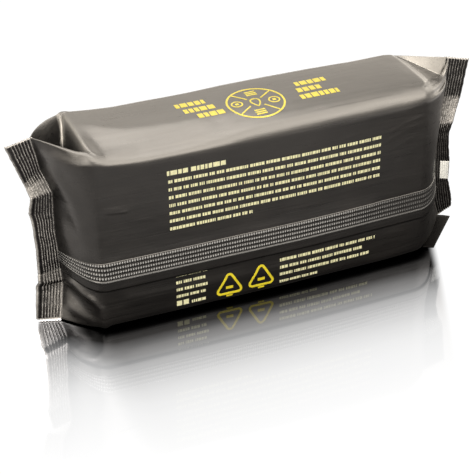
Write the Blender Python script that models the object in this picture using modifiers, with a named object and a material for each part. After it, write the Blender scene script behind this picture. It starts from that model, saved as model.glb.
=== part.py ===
"""Wet wipes pack: a sealed film pack standing on one long narrow side, with gusseted ends closed by
ribbed end seals, a ribbed fin seal folded down on its back panel, and a peel-and-reseal label on
its front panel. Lengths are in millimetres until the meshes are made. X runs along the pack,
Z is up, and the fin seal is on the -Y panel."""

import math

import bpy
import numpy as np

MM = 0.001

# The filled body
RUN = 80.0  # half the straight run, before the film closes toward the end seals
TOP = 91.0  # height of the upper narrow side
FRONT_DEPTH = 24.9  # middle plane to the fin seal panel
BACK_DEPTH = 24.4  # middle plane to the label panel
FRONT_TAPER = (0.8, 2.4)  # how much shallower that panel is at the left and right ends
BACK_TAPER = 1.6
RIDGE_R = 9.8  # rounding of the upper edge over the fin seal
REAR_R = 6.5  # rounding of the upper edge over the label
SOLE_R = 4.2  # rounding of the lower edges
CROWN = 0.4  # rise of the upper side along its middle

# The fin seal, heights on the back panel
FIN_EDGE = 21.0  # free lower edge
FIN_PLAIN = 25.5  # top of its unribbed margin
FIN_ROOT = 36.1  # where it leaves the panel
FIN_GAP = 0.45
FIN_SHEET = 0.6

# The end seals
SEAL_SHEET = 0.8
RIB_COUNT = 7
RIB_DEPTH = 0.35
RIBBED_SHARE = 0.86  # the rest of the seal's width is a plain outer lip
SLOT_END = 0.94  # where the fin is pressed flat on its way into the seal

# Each end seal from its foot to its head: inner edge (x, y, z), outer edge (x, y, z). The seals are
# creased across, so these are the ends of the creases.
LEFT_SEAL = (
    ((-99.2, -7.4, 0.5), (-109.8, -4.0, 0.5)),
    ((-96.8, -3.2, 8.0), (-108.9, -3.2, 9.0)),
    ((-94.8, 0.5, 15.5), (-108.0, -2.5, 17.3)),
    ((-95.5, -1.5, 17.9), (-107.1, -4.0, 19.9)),
    ((-95.5, 0.5, 23.5), (-106.6, -2.5, 23.9)),
    ((-95.8, 0.4, 28.0), (-106.6, -2.7, 28.5)),
    ((-95.9, 0.2, 31.0), (-106.6, -2.9, 32.5)),
    ((-96.1, 0.0, 34.0), (-106.6, -3.0, 36.5)),
    ((-96.9, 0.0, 44.5), (-107.0, -2.5, 48.3)),
    ((-96.8, -0.3, 49.5), (-107.4, -2.2, 52.5)),
    ((-96.8, -0.5, 54.0), (-108.2, -2.0, 56.2)),
    ((-96.8, -1.5, 64.5), (-107.3, -4.6, 64.9)),
    ((-98.8, 0.0, 70.5), (-108.2, -2.5, 68.1)),
    ((-100.8, 1.5, 76.0), (-108.9, 0.3, 70.6)),
    ((-102.4, 0.8, 84.5), (-112.6, -0.5, 81.0)),
    ((-104.1, 0.0, 93.1), (-115.9, 0.0, 90.4)),
)
RIGHT_SEAL = (
    ((104.8, 0.0, 4.8), (113.2, 0.0, 8.8)),
    ((103.0, 0.0, 10.5), (113.0, -0.3, 11.5)),
    ((101.6, 0.0, 16.5), (112.4, -0.5, 15.0)),
    ((101.0, -0.4, 20.5), (111.6, -0.3, 18.0)),
    ((100.5, -0.7, 24.0), (110.9, -0.2, 21.0)),
    ((100.0, -1.0, 27.9), (110.2, 0.0, 24.1)),
    ((99.9, -0.7, 31.1), (110.4, 0.3, 27.5)),
    ((99.9, -0.3, 34.3), (110.6, 0.6, 31.0)),
    ((99.9, 0.0, 37.5), (110.9, 1.0, 34.4)),
    ((100.5, 0.5, 44.8), (109.1, 0.0, 44.1)),
    ((100.3, 0.0, 52.5), (108.5, -0.5, 52.0)),
    ((100.5, -1.0, 58.5), (109.2, -2.5, 58.7)),
    ((101.9, 0.3, 65.5), (112.7, 1.0, 63.5)),
    ((103.3, 1.5, 72.5), (115.6, 3.0, 69.2)),
    ((103.9, 0.7, 82.5), (116.1, 1.5, 79.5)),
    ((104.4, 0.0, 93.4), (116.9, 0.0, 90.1)),
)

# Where the tucked ends of the narrow sides come to a point: (share of the way, x, z), then the
# height at which the tuck meets the seal
TUCKS = {
    (-1, 1): ((0.55, -90.5, 69.0), 68.5),
    (-1, -1): ((0.55, -92.0, 14.0), 14.5),
    (1, 1): ((0.92, 101.2, 84.0), 83.4),
    (1, -1): ((0.55, 93.0, 15.0), 16.0),
}

# Pull of the folded edges in front of the tuck and behind it, at the body and at the seal, for each end
FRONT_LIP = {-1: ((-6.0, 0.0, 0.8), (8.0, -8.5, -0.4)), 1: ((6.0, 0.0, 0.2), (-3.0, -4.0, -14.0))}
REAR_LIP = {-1: ((-6.5, 1.5, 1.6), (3.5, 3.0, 4.0)), 1: ((6.5, -1.0, -0.6), (-6.4, 7.0, -2.2))}

# The reseal label
LABEL_LENGTH = 112.0
LABEL_HEIGHT = 58.0
LABEL_CORNER = 14.0
LABEL_SHEET = 0.4
LABEL_GAP = 0.3
LABEL_MIDDLE = 46.5  # height of its middle line

# The lower right corner of the film, folded forward under the end of the pack: its upper face
DOG_EAR = ((103.2, 1.8, 4.3), (112.6, -0.2, 2.4), (91.2, -21.5, 0.95), (86.0, -19.0, 0.95), (94.0, -9.0, 2.4))
DOG_EAR_SHEET = 0.85

END_STATIONS = (0.12, 0.25, 0.4, 0.55, 0.7, 0.84, SLOT_END, 1.0)
BODY_STATIONS = (-80, -73, -65, -54, -40, -26, -12, 2, 16, 30, 44, 56, 66, 74, 80)

# Places in a section, in order round it
FRONT = list(range(0, 21))
SLOT = [5, 6, 7, 8]
FIN_FOOT = 9
TOP_TUCK = list(range(21, 30))
BACK = list(range(30, 46))
SOLE_TUCK = list(range(46, 55))
FRONT_SEAL = [0, 1, 2, 3, 4, 10, 11, 12, 13, 14, 15, 16, 17, 18, 19, 20]
FULL = FRONT + TOP_TUCK + BACK + SOLE_TUCK
CLOSED_FIN = [k for k in FULL if k not in SLOT]
SEAL = FRONT_SEAL + [21] + BACK + [46]
AT_ROOT = {9: 4, 29: 21, 28: 22, 24: 23, 25: 23, 26: 23, 27: 23, 54: 46, 53: 47, 49: 48, 50: 48, 51: 48, 52: 48}


def front_depth(x):
    return FRONT_DEPTH - FRONT_TAPER[x > 0] * (x / RUN) ** 2


def back_depth(x):
    return BACK_DEPTH - BACK_TAPER * (x / RUN) ** 2


def corner(y, z, side, up, radius, degrees):
    """A point on a rounded long edge: 0 degrees on the panel, 90 on the narrow side."""
    a = math.radians(degrees)
    return (y - side * radius * (1 - math.cos(a)), z - up * radius * (1 - math.sin(a)))


def body_section(x):
    """The section of the body at x, as (y, z) for each place."""
    f, b = -front_depth(x), back_depth(x)
    p = [None] * 55
    ridge = RIDGE_R
    rear = REAR_R - 2.5 * max(0.0, abs(x) - 60) / (RUN - 60)
    if x < -60:
        ridge -= 3.5 * (-x - 60) / (RUN - 60)
    if x > 70:
        ridge -= 2.0 * (x - 70) / (RUN - 70)
    p[0] = corner(f, 0, -1, -1, SOLE_R, 45)
    p[1] = (f, SOLE_R)
    p[2] = (f, 11.0)
    p[3] = (f, 16.5)
    p[4] = (f, FIN_EDGE)
    p[5] = (f, 28.5)
    p[6] = (f, FIN_ROOT - 1.0)
    p[7] = (f - FIN_GAP, 28.5)
    p[8] = (f - FIN_GAP, FIN_EDGE + 0.2)
    out = f - FIN_GAP - FIN_SHEET
    p[9] = (out, FIN_EDGE)
    p[10] = (out - 0.1, FIN_PLAIN)
    p[11] = (out - 0.1, (FIN_PLAIN + FIN_ROOT) / 2)
    p[12] = (out + 0.2, FIN_ROOT)
    for k, z in zip(range(13, 19), (37.7, 45.5, 53.5, 61.5, 69.5, 76.0)):
        p[k] = (f, z)
    p[19] = (f, TOP - ridge)
    p[20] = corner(f, TOP, -1, 1, ridge, 35)
    p[21] = corner(f, TOP, -1, 1, ridge, 60)
    p[22] = corner(f, TOP, -1, 1, ridge, 76)
    p[23] = (f + ridge, TOP)
    p[24] = (f / 3, TOP + CROWN)
    p[25] = (0.0, TOP + CROWN)
    p[26] = (b / 3, TOP + CROWN)
    p[27] = (b - rear, TOP)
    p[28] = corner(b, TOP, 1, 1, rear, 76)
    p[29] = corner(b, TOP, 1, 1, rear, 60)
    p[30] = corner(b, TOP, 1, 1, rear, 35)
    p[31] = (b, TOP - rear)
    for k, z in zip(range(32, 45), (76.0, 69.5, 62.5, 54.5, 46.5, 40.0, 35.5, 31.0, 26.5, 21.5, 16.5, 11.0, SOLE_R)):
        p[k] = (b, z)
    p[45] = corner(b, 0, 1, -1, SOLE_R, 45)
    p[46] = corner(b, 0, 1, -1, SOLE_R, 68)
    p[47] = (b - SOLE_R, 0.0)
    p[48] = (b - SOLE_R - 2.5, 0.0)
    p[49] = (b / 3, 0.0)
    p[50] = (0.0, 0.0)
    p[51] = (f / 3, 0.0)
    p[52] = (f + SOLE_R + 2.5, 0.0)
    p[53] = (f + SOLE_R, 0.0)
    p[54] = corner(f, 0, -1, -1, SOLE_R, 68)
    return p


def seal_edges(end):
    return np.array(LEFT_SEAL if end < 0 else RIGHT_SEAL, float)


def root_at(end, z):
    inner = seal_edges(end)[:, 0]
    return np.array([np.interp(z, inner[:, 2], inner[:, 0]), np.interp(z, inner[:, 2], inner[:, 1]), z])


def bezier(a, b, c, d, s):
    t = 1 - s
    return t**3 * a + 3 * t * t * s * b + 3 * t * s * s * c + s**3 * d


def lip_pull(end, up, side, a, d):
    """The two middle control points of a fold's free edge, from the body at a to the seal at d."""
    if up > 0 and side > 0:
        b = a + np.array(REAR_LIP[end][0])
        c = d + np.array(REAR_LIP[end][1])
    elif up > 0:
        b = a + np.array(FRONT_LIP[end][0])
        c = d + np.array(FRONT_LIP[end][1])
    else:
        b = a + np.array([end * 6.0, 0, -0.4 * a[2]])
        c = d + np.array([-end * 7.0, side * 8.5, 0])
        c[2] = min(c[2], 2.2)
    return b, c


def end_section(end, s):
    """Each place between the body (s 0) and the inner edge of the end seal (s 1)."""
    start = np.array([(end * RUN, y, z) for y, z in body_section(end * RUN)])
    inner = seal_edges(end)[:, 0]
    half = np.array([0, SEAL_SHEET / 2, 0])
    out = np.zeros((55, 3))

    def panel(k, seal_place, side):
        a, d = start[k], inner[seal_place] + side * half
        b = a + np.array([end * 8.5, 0, 0])
        c = d + np.array([-end * 3.0, side * 9.0, 0])
        if seal_place == 15:
            b, c = lip_pull(end, 1, side, a, d)
        elif seal_place == 0:
            b, c = lip_pull(end, -1, side, a, d)
        return bezier(a, b, c, d, s)

    for place, k in enumerate(FRONT_SEAL):
        out[k] = panel(k, place, -1)
    for place, k in enumerate(reversed(BACK)):
        out[k] = panel(k, place, 1)

    # the fin lies on the panel and is pressed flat into the seal
    ahead = bezier(start[5], start[5] + (end * 8.5, 0, 0), inner[6] - half + (-end * 3.0, -9.0, 0), inner[6] - half, min(s + 0.02, 1.0))
    behind = bezier(start[5], start[5] + (end * 8.5, 0, 0), inner[6] - half + (-end * 3.0, -9.0, 0), inner[6] - half, s - 0.02)
    run = ahead - behind
    outward = np.array([run[1], -run[0], 0]) * (1 if run[0] > 0 else -1)
    outward /= np.linalg.norm(outward)
    base = body_section(end * RUN)[4][0]
    lift = 1 - s**3
    gap = FIN_GAP * min(1.0, (SLOT_END - s) / 0.3) if s < SLOT_END else 0.0
    for k, place in ((4, 4), (5, 6), (6, 7)):
        flat = start[k].copy()
        flat[1] = base
        d = inner[place] - half
        out[k] = bezier(flat, flat + (end * 8.5, 0, 0), d + (-end * 3.0, -9.0, 0), d, s)
    out[6][2] -= 1.0 * s
    out[7] = out[5] + outward * gap
    out[8] = out[4] + outward * gap + (0, 0, 0.2 if s < SLOT_END else 0.0)
    out[9] = out[4] + outward * (gap + FIN_SHEET * lift)
    for k, place, proud in ((10, 5, 0.1), (11, 6, 0.1), (12, 7, -0.2)):
        flat = start[k].copy()
        flat[1] = base
        d = inner[place] - half
        out[k] = bezier(flat, flat + (end * 8.5, 0, 0), d + (-end * 3.0, -9.0, 0), d, s)
        out[k] += outward * (FIN_GAP + FIN_SHEET + proud) * lift

    # the narrow sides fold inward to a point, then their two flanks meet along a line
    for up, lips, flanks, middle, rim in (
        (1, (21, 29), (22, 28), (23, 24, 25, 26, 27), 15),
        (-1, (54, 46), (53, 47), (52, 51, 50, 49, 48), 0),
    ):
        (share, apex_x, apex_z), meet_z = TUCKS[(end, up)]
        head = inner[rim] + (0, 0, up * 0.25)
        foot = root_at(end, meet_z)
        for k, side in zip(lips, (-1, 1)):
            out[k] = bezier(start[k], *lip_pull(end, up, side, start[k], head), head, s)
        for n, k in enumerate(middle):
            y0, z0 = start[k][1:]
            spread = (n - 2) * 0.15
            knots = (0.0, 0.12, share, 1.0)
            out[k] = [
                np.interp(s, knots, (end * RUN, end * 84.0, apex_x, foot[0])),
                np.interp(s, knots, (y0, y0, spread + foot[1] * share, foot[1])),
                np.interp(s, knots, (z0, z0 - 0.2 if up > 0 else z0, apex_z, foot[2])),
            ]
        for k, lip, valley in zip(flanks, lips, (middle[0], middle[-1])):
            held = start[k] + (out[valley] - start[valley])
            mid = (out[lip] + out[valley]) / 2
            blend = min(1.0, s / 0.4)
            out[k] = held * (1 - blend) + mid * blend
    return out


class Skin:
    """Points by station and place, and the faces between stations."""

    def __init__(self):
        self.points, self.faces = [], []

    def ring(self, positions, places, merged=None):
        merged = merged or {}
        ids = {}
        for k in places:
            if k not in merged:
                ids[k] = len(self.points)
                self.points.append(tuple(positions[k]))
        for k, onto in merged.items():
            if k in places:
                ids[k] = ids[onto]
        return ids

    def face(self, *ids):
        kept = [i for n, i in enumerate(ids) if i != ids[n - 1]]
        if len(set(kept)) == len(kept) and len(kept) > 2:
            self.faces.append(kept)

    def strip(self, a, b, places):
        for n, k in enumerate(places):
            prev = places[n - 1]
            self.face(a[prev], a[k], b[k], b[prev])


def seal_rings(skin, end, first, flip):
    """The ribbed plate of an end seal, out from its inner edge."""
    edges = seal_edges(end)
    half = SEAL_SHEET / 2
    steps = [RIBBED_SHARE * n / (2 * RIB_COUNT) for n in range(1, 2 * RIB_COUNT + 1)] + [0.93, 1.0]
    last = first
    for n, w in enumerate(steps):
        mid = edges[:, 0] * (1 - w) + edges[:, 1] * w
        wave = RIB_DEPTH * (0.5 if n % 2 == 0 else -0.5) if n < 2 * RIB_COUNT - 1 else 0.0
        positions = {}
        for place, k in enumerate(FRONT_SEAL):
            positions[k] = mid[place] + (0, wave - half, 0)
        for place, k in enumerate(reversed(BACK)):
            positions[k] = mid[place] + (0, wave + half, 0)
        positions[21] = mid[15] + (0, wave, 0.25)
        positions[46] = mid[0] + (0, wave, -0.25)
        ring = skin.ring(positions, SEAL)
        skin.strip(*((last, ring) if not flip else (ring, last)), SEAL)
        last = ring
    back = list(reversed(BACK))
    turn = (lambda *ids: skin.face(*ids)) if not flip else (lambda *ids: skin.face(*reversed(ids)))
    for n in range(len(FRONT_SEAL) - 1):
        turn(last[FRONT_SEAL[n]], last[FRONT_SEAL[n + 1]], last[back[n + 1]], last[back[n]])
    turn(last[FRONT_SEAL[-1]], last[21], last[back[-1]])
    turn(last[back[0]], last[46], last[FRONT_SEAL[0]])


def pack_skin():
    skin = Skin()
    last = None
    for x in BODY_STATIONS:
        ring = skin.ring([(x, y, z) for y, z in body_section(x)], FULL)
        if last:
            skin.strip(last, ring, FULL)
        else:
            first_ring = ring
        last = ring
    for end, ring in ((-1, first_ring), (1, last)):
        flip = end < 0
        places = FULL
        for s in END_STATIONS:
            positions = end_section(end, s)
            if s < SLOT_END:
                new = skin.ring(positions, FULL)
            elif s == SLOT_END:
                new = skin.ring(positions, FULL, {7: 5, 8: 4})
            else:
                new = skin.ring(positions, CLOSED_FIN, AT_ROOT)
                places = CLOSED_FIN
            skin.strip(*((ring, new) if not flip else (new, ring)), places)
            ring = new
        seal_rings(skin, end, ring, flip)
    return skin


def add_object(name, points, faces, material, home):
    mesh = bpy.data.meshes.new(name)
    mesh.from_pydata([tuple(c * MM for c in p) for p in points], [], faces)
    mesh.validate()
    mesh.materials.append(material)
    made = bpy.data.objects.new(name, mesh)
    home.objects.link(made)
    return made


def material(name, colour, roughness, metallic=0.0):
    made = bpy.data.materials.new(name)
    made.use_nodes = True
    shader = made.node_tree.nodes["Principled BSDF"]
    shader.inputs["Base Color"].default_value = (*colour, 1)
    shader.inputs["Roughness"].default_value = roughness
    shader.inputs["Metallic"].default_value = metallic
    return made


def signed_volume(points, faces):
    p = np.array(points)
    total = 0.0
    for f in faces:
        for n in range(1, len(f) - 1):
            total += np.dot(p[f[0]], np.cross(p[f[n]], p[f[n + 1]]))
    return total / 6


def plate(upper, sheet):
    """A flat-folded piece of film: its upper outline, and the same outline one thickness lower."""
    n = len(upper)
    points = list(upper) + [(x, y, z - sheet) for x, y, z in upper]
    faces = [list(range(n)), list(range(n, 2 * n))[::-1]]
    faces += [[(k + 1) % n, k, n + k, n + (k + 1) % n] for k in range(n)]
    return points, faces


def label_sheet():
    """The label's inner face: columns along the panel, cut to rounded corners."""
    columns = []
    half, high = LABEL_LENGTH / 2, LABEL_HEIGHT / 2
    xs = [-half + LABEL_CORNER * (1 - math.cos(math.radians(a))) for a in (0, 18, 36, 54, 72, 90)]
    xs += [-24, -8, 8, 24] + [-x for x in reversed(xs)]
    for x in xs:
        into = max(0.0, LABEL_CORNER - (half - abs(x)))
        drop = LABEL_CORNER - math.sqrt(max(0.0, LABEL_CORNER**2 - into**2))
        reach = high - drop
        columns.append([(x, back_depth(x) + LABEL_GAP, LABEL_MIDDLE + reach * t) for t in (-1, -1 / 3, 1 / 3, 1)])
    points = [p for c in columns for p in c]
    faces = []
    for i in range(len(columns) - 1):
        for j in range(3):
            a = i * 4 + j
            faces.append([a, a + 1, a + 5, a + 4])
    return points, faces


def main():
    for old in list(bpy.data.objects):
        bpy.data.objects.remove(old, do_unlink=True)
    home = bpy.data.collections.new("wet_wipes_pack")
    bpy.context.scene.collection.children.link(home)
    tools = bpy.data.collections.new("joined_shapes")
    tools.hide_render = True
    bpy.context.scene.collection.children.link(tools)

    film = material("film", (0.045, 0.042, 0.040), 0.38)
    label_film = material("label_film", (0.05, 0.047, 0.045), 0.3)

    skin = pack_skin()
    points, faces = skin.points, skin.faces
    if signed_volume(points, faces) < 0:
        faces = [f[::-1] for f in faces]
    low, high = np.min(points, axis=0), np.max(points, axis=0)
    label_points, label_faces = label_sheet()
    deepest = max(high[1], max(p[1] for p in label_points) + LABEL_SHEET)
    shift = np.array([-(low[0] + high[0]) / 2, -(low[1] + deepest) / 2, 0.0])

    pack = add_object("film_pack", np.array(points) + shift, faces, film, home)
    ear_points, ear_faces = plate(DOG_EAR, DOG_EAR_SHEET)
    if signed_volume(ear_points, ear_faces) < 0:
        ear_faces = [f[::-1] for f in ear_faces]
    ear = add_object("folded_corner", np.array(ear_points) + shift, ear_faces, film, tools)
    ear.hide_render = True
    ear.display_type = "WIRE"
    join = pack.modifiers.new("folded corner", "BOOLEAN")
    join.operation = "UNION"
    join.solver = "EXACT"
    join.object = ear

    label = add_object("reseal_label", np.array(label_points) + shift, label_faces, label_film, home)
    thick = label.modifiers.new("sheet", "SOLIDIFY")
    thick.thickness = LABEL_SHEET * MM
    thick.offset = 1.0
    thick.use_even_offset = True


main()
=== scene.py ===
"""The looks of a wet wipes pack: the film body with its folded ends, the crimped end seals, the fin
seal, the folded corner, the reseal label and the print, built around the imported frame.
Lengths are in millimetres until the meshes are made."""

import math

import bpy
import numpy as np
from mathutils import Matrix, Vector
from mathutils.bvhtree import BVHTree
from mathutils.noise import noise as perlin


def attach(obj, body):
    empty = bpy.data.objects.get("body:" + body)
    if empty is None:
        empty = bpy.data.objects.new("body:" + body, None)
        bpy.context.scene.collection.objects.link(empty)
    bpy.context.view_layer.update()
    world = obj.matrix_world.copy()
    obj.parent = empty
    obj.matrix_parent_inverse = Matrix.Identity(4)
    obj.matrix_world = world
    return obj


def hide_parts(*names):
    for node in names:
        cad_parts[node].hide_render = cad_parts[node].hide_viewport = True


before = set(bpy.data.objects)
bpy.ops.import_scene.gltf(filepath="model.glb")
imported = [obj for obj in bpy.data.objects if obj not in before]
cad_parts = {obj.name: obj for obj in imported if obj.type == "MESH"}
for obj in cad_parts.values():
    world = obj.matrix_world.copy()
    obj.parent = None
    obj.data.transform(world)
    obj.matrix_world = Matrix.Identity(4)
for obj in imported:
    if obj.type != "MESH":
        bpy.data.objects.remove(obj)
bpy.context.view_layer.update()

MM = 0.001

# ---------------------------------------------------------------- the pack's measures, as in the frame
RUN = 80.0
TOP = 91.0
FRONT_DEPTH = 24.9
BACK_DEPTH = 24.4
FRONT_TAPER = (0.8, 2.4)
BACK_TAPER = 1.6
RIDGE_R = 9.8
REAR_R = 6.5
SOLE_R = 4.2
CROWN = 0.4
FIN_EDGE = 21.0
FIN_PLAIN = 25.5
FIN_ROOT = 36.1
FIN_GAP = 0.45
FIN_SHEET = 0.6
SEAL_SHEET = 0.8
RIB_COUNT = 7
RIBBED_SHARE = 0.86
LEFT_SEAL = (
    ((-99.2, -7.4, 0.5), (-109.8, -4.0, 0.5)),
    ((-96.8, -3.2, 8.0), (-108.9, -3.2, 9.0)),
    ((-94.8, 0.5, 15.5), (-108.0, -2.5, 17.3)),
    ((-95.5, -1.5, 17.9), (-107.1, -4.0, 19.9)),
    ((-95.5, 0.5, 23.5), (-106.6, -2.5, 23.9)),
    ((-95.8, 0.4, 28.0), (-106.6, -2.7, 28.5)),
    ((-95.9, 0.2, 31.0), (-106.6, -2.9, 32.5)),
    ((-96.1, 0.0, 34.0), (-106.6, -3.0, 36.5)),
    ((-96.9, 0.0, 44.5), (-107.0, -2.5, 48.3)),
    ((-96.8, -0.3, 49.5), (-107.4, -2.2, 52.5)),
    ((-96.8, -0.5, 54.0), (-108.2, -2.0, 56.2)),
    ((-96.8, -1.5, 64.5), (-107.3, -4.6, 64.9)),
    ((-98.8, 0.0, 70.5), (-108.2, -2.5, 68.1)),
    ((-100.8, 1.5, 76.0), (-108.9, 0.3, 70.6)),
    ((-102.4, 0.8, 84.5), (-112.6, -0.5, 81.0)),
    ((-104.1, 0.0, 93.1), (-115.9, 0.0, 90.4)),
)
RIGHT_SEAL = (
    ((104.8, 0.0, 4.8), (113.2, 0.0, 8.8)),
    ((103.0, 0.0, 10.5), (113.0, -0.3, 11.5)),
    ((101.6, 0.0, 16.5), (112.4, -0.5, 15.0)),
    ((101.0, -0.4, 20.5), (111.6, -0.3, 18.0)),
    ((100.5, -0.7, 24.0), (110.9, -0.2, 21.0)),
    ((100.0, -1.0, 27.9), (110.2, 0.0, 24.1)),
    ((99.9, -0.7, 31.1), (110.4, 0.3, 27.5)),
    ((99.9, -0.3, 34.3), (110.6, 0.6, 31.0)),
    ((99.9, 0.0, 37.5), (110.9, 1.0, 34.4)),
    ((100.5, 0.5, 44.8), (109.1, 0.0, 44.1)),
    ((100.3, 0.0, 52.5), (108.5, -0.5, 52.0)),
    ((100.5, -1.0, 58.5), (109.2, -2.5, 58.7)),
    ((101.9, 0.3, 65.5), (112.7, 1.0, 63.5)),
    ((103.3, 1.5, 72.5), (115.6, 3.0, 69.2)),
    ((103.9, 0.7, 82.5), (116.1, 1.5, 79.5)),
    ((104.4, 0.0, 93.4), (116.9, 0.0, 90.1)),
)
TUCKS = {
    (-1, 1): ((0.55, -90.5, 69.0), 68.5),
    (-1, -1): ((0.55, -92.0, 14.0), 14.5),
    (1, 1): ((0.92, 101.2, 84.0), 83.4),
    (1, -1): ((0.55, 93.0, 15.0), 16.0),
}
FRONT_LIP = {-1: ((-6.0, 0.0, 0.8), (8.0, -8.5, -0.4)), 1: ((6.0, 0.0, 0.2), (-3.0, -4.0, -14.0))}
REAR_LIP = {-1: ((-6.5, 1.5, 1.6), (3.5, 3.0, 4.0)), 1: ((6.5, -1.0, -0.6), (-6.4, 7.0, -2.2))}
DOG_EAR = ((103.2, 1.8, 4.3), (112.6, -0.2, 2.4), (91.2, -21.5, 0.95), (86.0, -19.0, 0.95), (94.0, -9.0, 2.4))
DOG_EAR_SHEET = 0.85
LABEL_LENGTH = 112.0
LABEL_HEIGHT = 58.0
LABEL_CORNER = 14.0
LABEL_SHEET = 0.4
LABEL_GAP = 0.3
LABEL_MIDDLE = 46.5
# the whole pack moves so that its box is centred, as the frame is
SHIFT = np.array([-0.5, 0.475, 0.0])

# How much higher than plain the upper side stands along the pack
TOP_RISE = ((-85, 1.4), (-77, 0.8), (-70, 0.3), (-61, -0.1), (-51, -0.25), (-36, -0.4), (-21, -0.4), (-6, 0.0),
            (9, 0.2), (24, 0.3), (40, 0.45), (56, 0.3), (73, 0.0), (85, -0.3))

# heights of the rows up each wide panel, from the lower rounding to the upper one
PANEL_ROWS = (SOLE_R, 11.0, 16.5, 21.3, 26.0, 30.7, 35.4, 40.3, 46.5, 54.0, 62.0, 69.5, 76.0)


def smooth(t):
    t = np.clip(t, 0.0, 1.0)
    return t * t * (3 - 2 * t)


def noise3(points, scale, seed=0.0):
    return np.array([perlin(Vector((p[0] * scale + seed, p[1] * scale - seed, p[2] * scale + 0.7 * seed))) for p in points])


def front_depth(x):
    x = np.asarray(x, float)
    return FRONT_DEPTH - np.where(x > 0, FRONT_TAPER[1], FRONT_TAPER[0]) * (x / RUN) ** 2


def back_depth(x):
    return BACK_DEPTH - BACK_TAPER * (np.asarray(x, float) / RUN) ** 2


def ridge_radius(x):
    r = RIDGE_R
    if x < -60:
        r -= 3.5 * (-x - 60) / (RUN - 60)
    if x > 70:
        r -= 2.0 * (x - 70) / (RUN - 70)
    return r


def rear_radius(x):
    return REAR_R - 2.5 * max(0.0, abs(x) - 60) / (RUN - 60)


def corner(y, z, side, up, radius, degrees):
    a = np.radians(degrees)
    return y - side * radius * (1 - np.cos(a)), z - up * radius * (1 - np.sin(a))


def rows_list():
    """The row parameters up a wide panel: -1 and 16 are its lips, 1 and 14 the ends of its flat part."""
    out = []
    levels = {-1: 1.4, 0: 4.2}
    for k in range(1, 13):
        levels[k] = max(PANEL_ROWS[k] - PANEL_ROWS[k - 1], LEFT_SEAL[k + 1][0][2] - LEFT_SEAL[k][0][2])
    levels[13], levels[14], levels[15] = 7.0, 8.0, 4.5
    for k in range(-1, 16):
        n = max(3, math.ceil(levels[k] / 0.85))
        out += [k + j / n for j in range(n)]
    return np.array(out + [16.0])


ROWS = rows_list()


def panel_start(x, side):
    """The wide panel's section at x, (y, z) for every row."""
    depth = float(front_depth(x) if side < 0 else back_depth(x))
    radius = ridge_radius(x) if side < 0 else rear_radius(x)
    y = side * depth
    z = np.interp(ROWS, range(1, 15), PANEL_ROWS + (TOP - radius,))
    ys = np.full(len(ROWS), y)
    upper, lower = ROWS > 14, ROWS < 1
    ys[upper], z[upper] = corner(y, TOP, side, 1, radius, np.interp(ROWS[upper], (14, 15, 16), (0, 35, 60)))
    ys[lower], z[lower] = corner(y, 0, side, -1, SOLE_R, np.interp(ROWS[lower], (-1, 0, 1), (68, 45, 0)))
    return ys, z


def narrow_start(x, up, flank, middle):
    """The narrow side's section at x from the front lip to the back lip, and how far each point is down its flank."""
    f, b = -float(front_depth(x)), float(back_depth(x))
    front_r, back_r = (ridge_radius(x), rear_radius(x)) if up > 0 else (SOLE_R, SOLE_R)
    level = TOP if up > 0 else 0.0
    low_angle = 60 if up > 0 else 68
    q = np.arange(1, flank + 1) / flank
    y1, z1 = corner(f, level, -1, up, front_r, low_angle + (90 - low_angle) * q)
    y3, z3 = corner(b, level, 1, up, back_r, low_angle + (90 - low_angle) * q[::-1])
    t = np.arange(1, middle) / middle
    y2 = (f + front_r) * (1 - t) + (b - back_r) * t
    z2 = level + (CROWN if up > 0 else 0.0) * (1 - (2 * t - 1) ** 4)
    ys = np.concatenate([y1, y2, y3])
    zs = np.concatenate([z1, z2, z3])
    return ys, zs, q, t


def seal_at(end, rows, outer=0):
    """The end seal's inner or outer edge at each row, creases kept."""
    edges = np.array(LEFT_SEAL if end < 0 else RIGHT_SEAL, float)[:, outer]
    r = np.clip(rows, 0, 15)
    return np.stack([np.interp(r, range(16), edges[:, k]) for k in range(3)], axis=1)


def root_at(end, z):
    inner = np.array(LEFT_SEAL if end < 0 else RIGHT_SEAL, float)[:, 0]
    return np.array([np.interp(z, inner[:, 2], inner[:, 0]), np.interp(z, inner[:, 2], inner[:, 1]), z])


def bezier(a, b, c, d, s):
    t = 1 - s
    return t**3 * a + 3 * t * t * s * b + 3 * t * s * s * c + s**3 * d


def lip_pull(end, up, side, a, d):
    a, d = np.atleast_2d(a), np.atleast_2d(d)
    if up > 0 and side > 0:
        return a + np.array(REAR_LIP[end][0]), d + np.array(REAR_LIP[end][1])
    if up > 0:
        return a + np.array(FRONT_LIP[end][0]), d + np.array(FRONT_LIP[end][1])
    b = a + np.array([end * 6.0, 0, 0])
    b[:, 2] -= 0.4 * a[:, 2]
    c = d + np.array([-end * 7.0, side * 8.5, 0])
    c[:, 2] = np.minimum(c[:, 2], 2.2)
    return b, c


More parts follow.
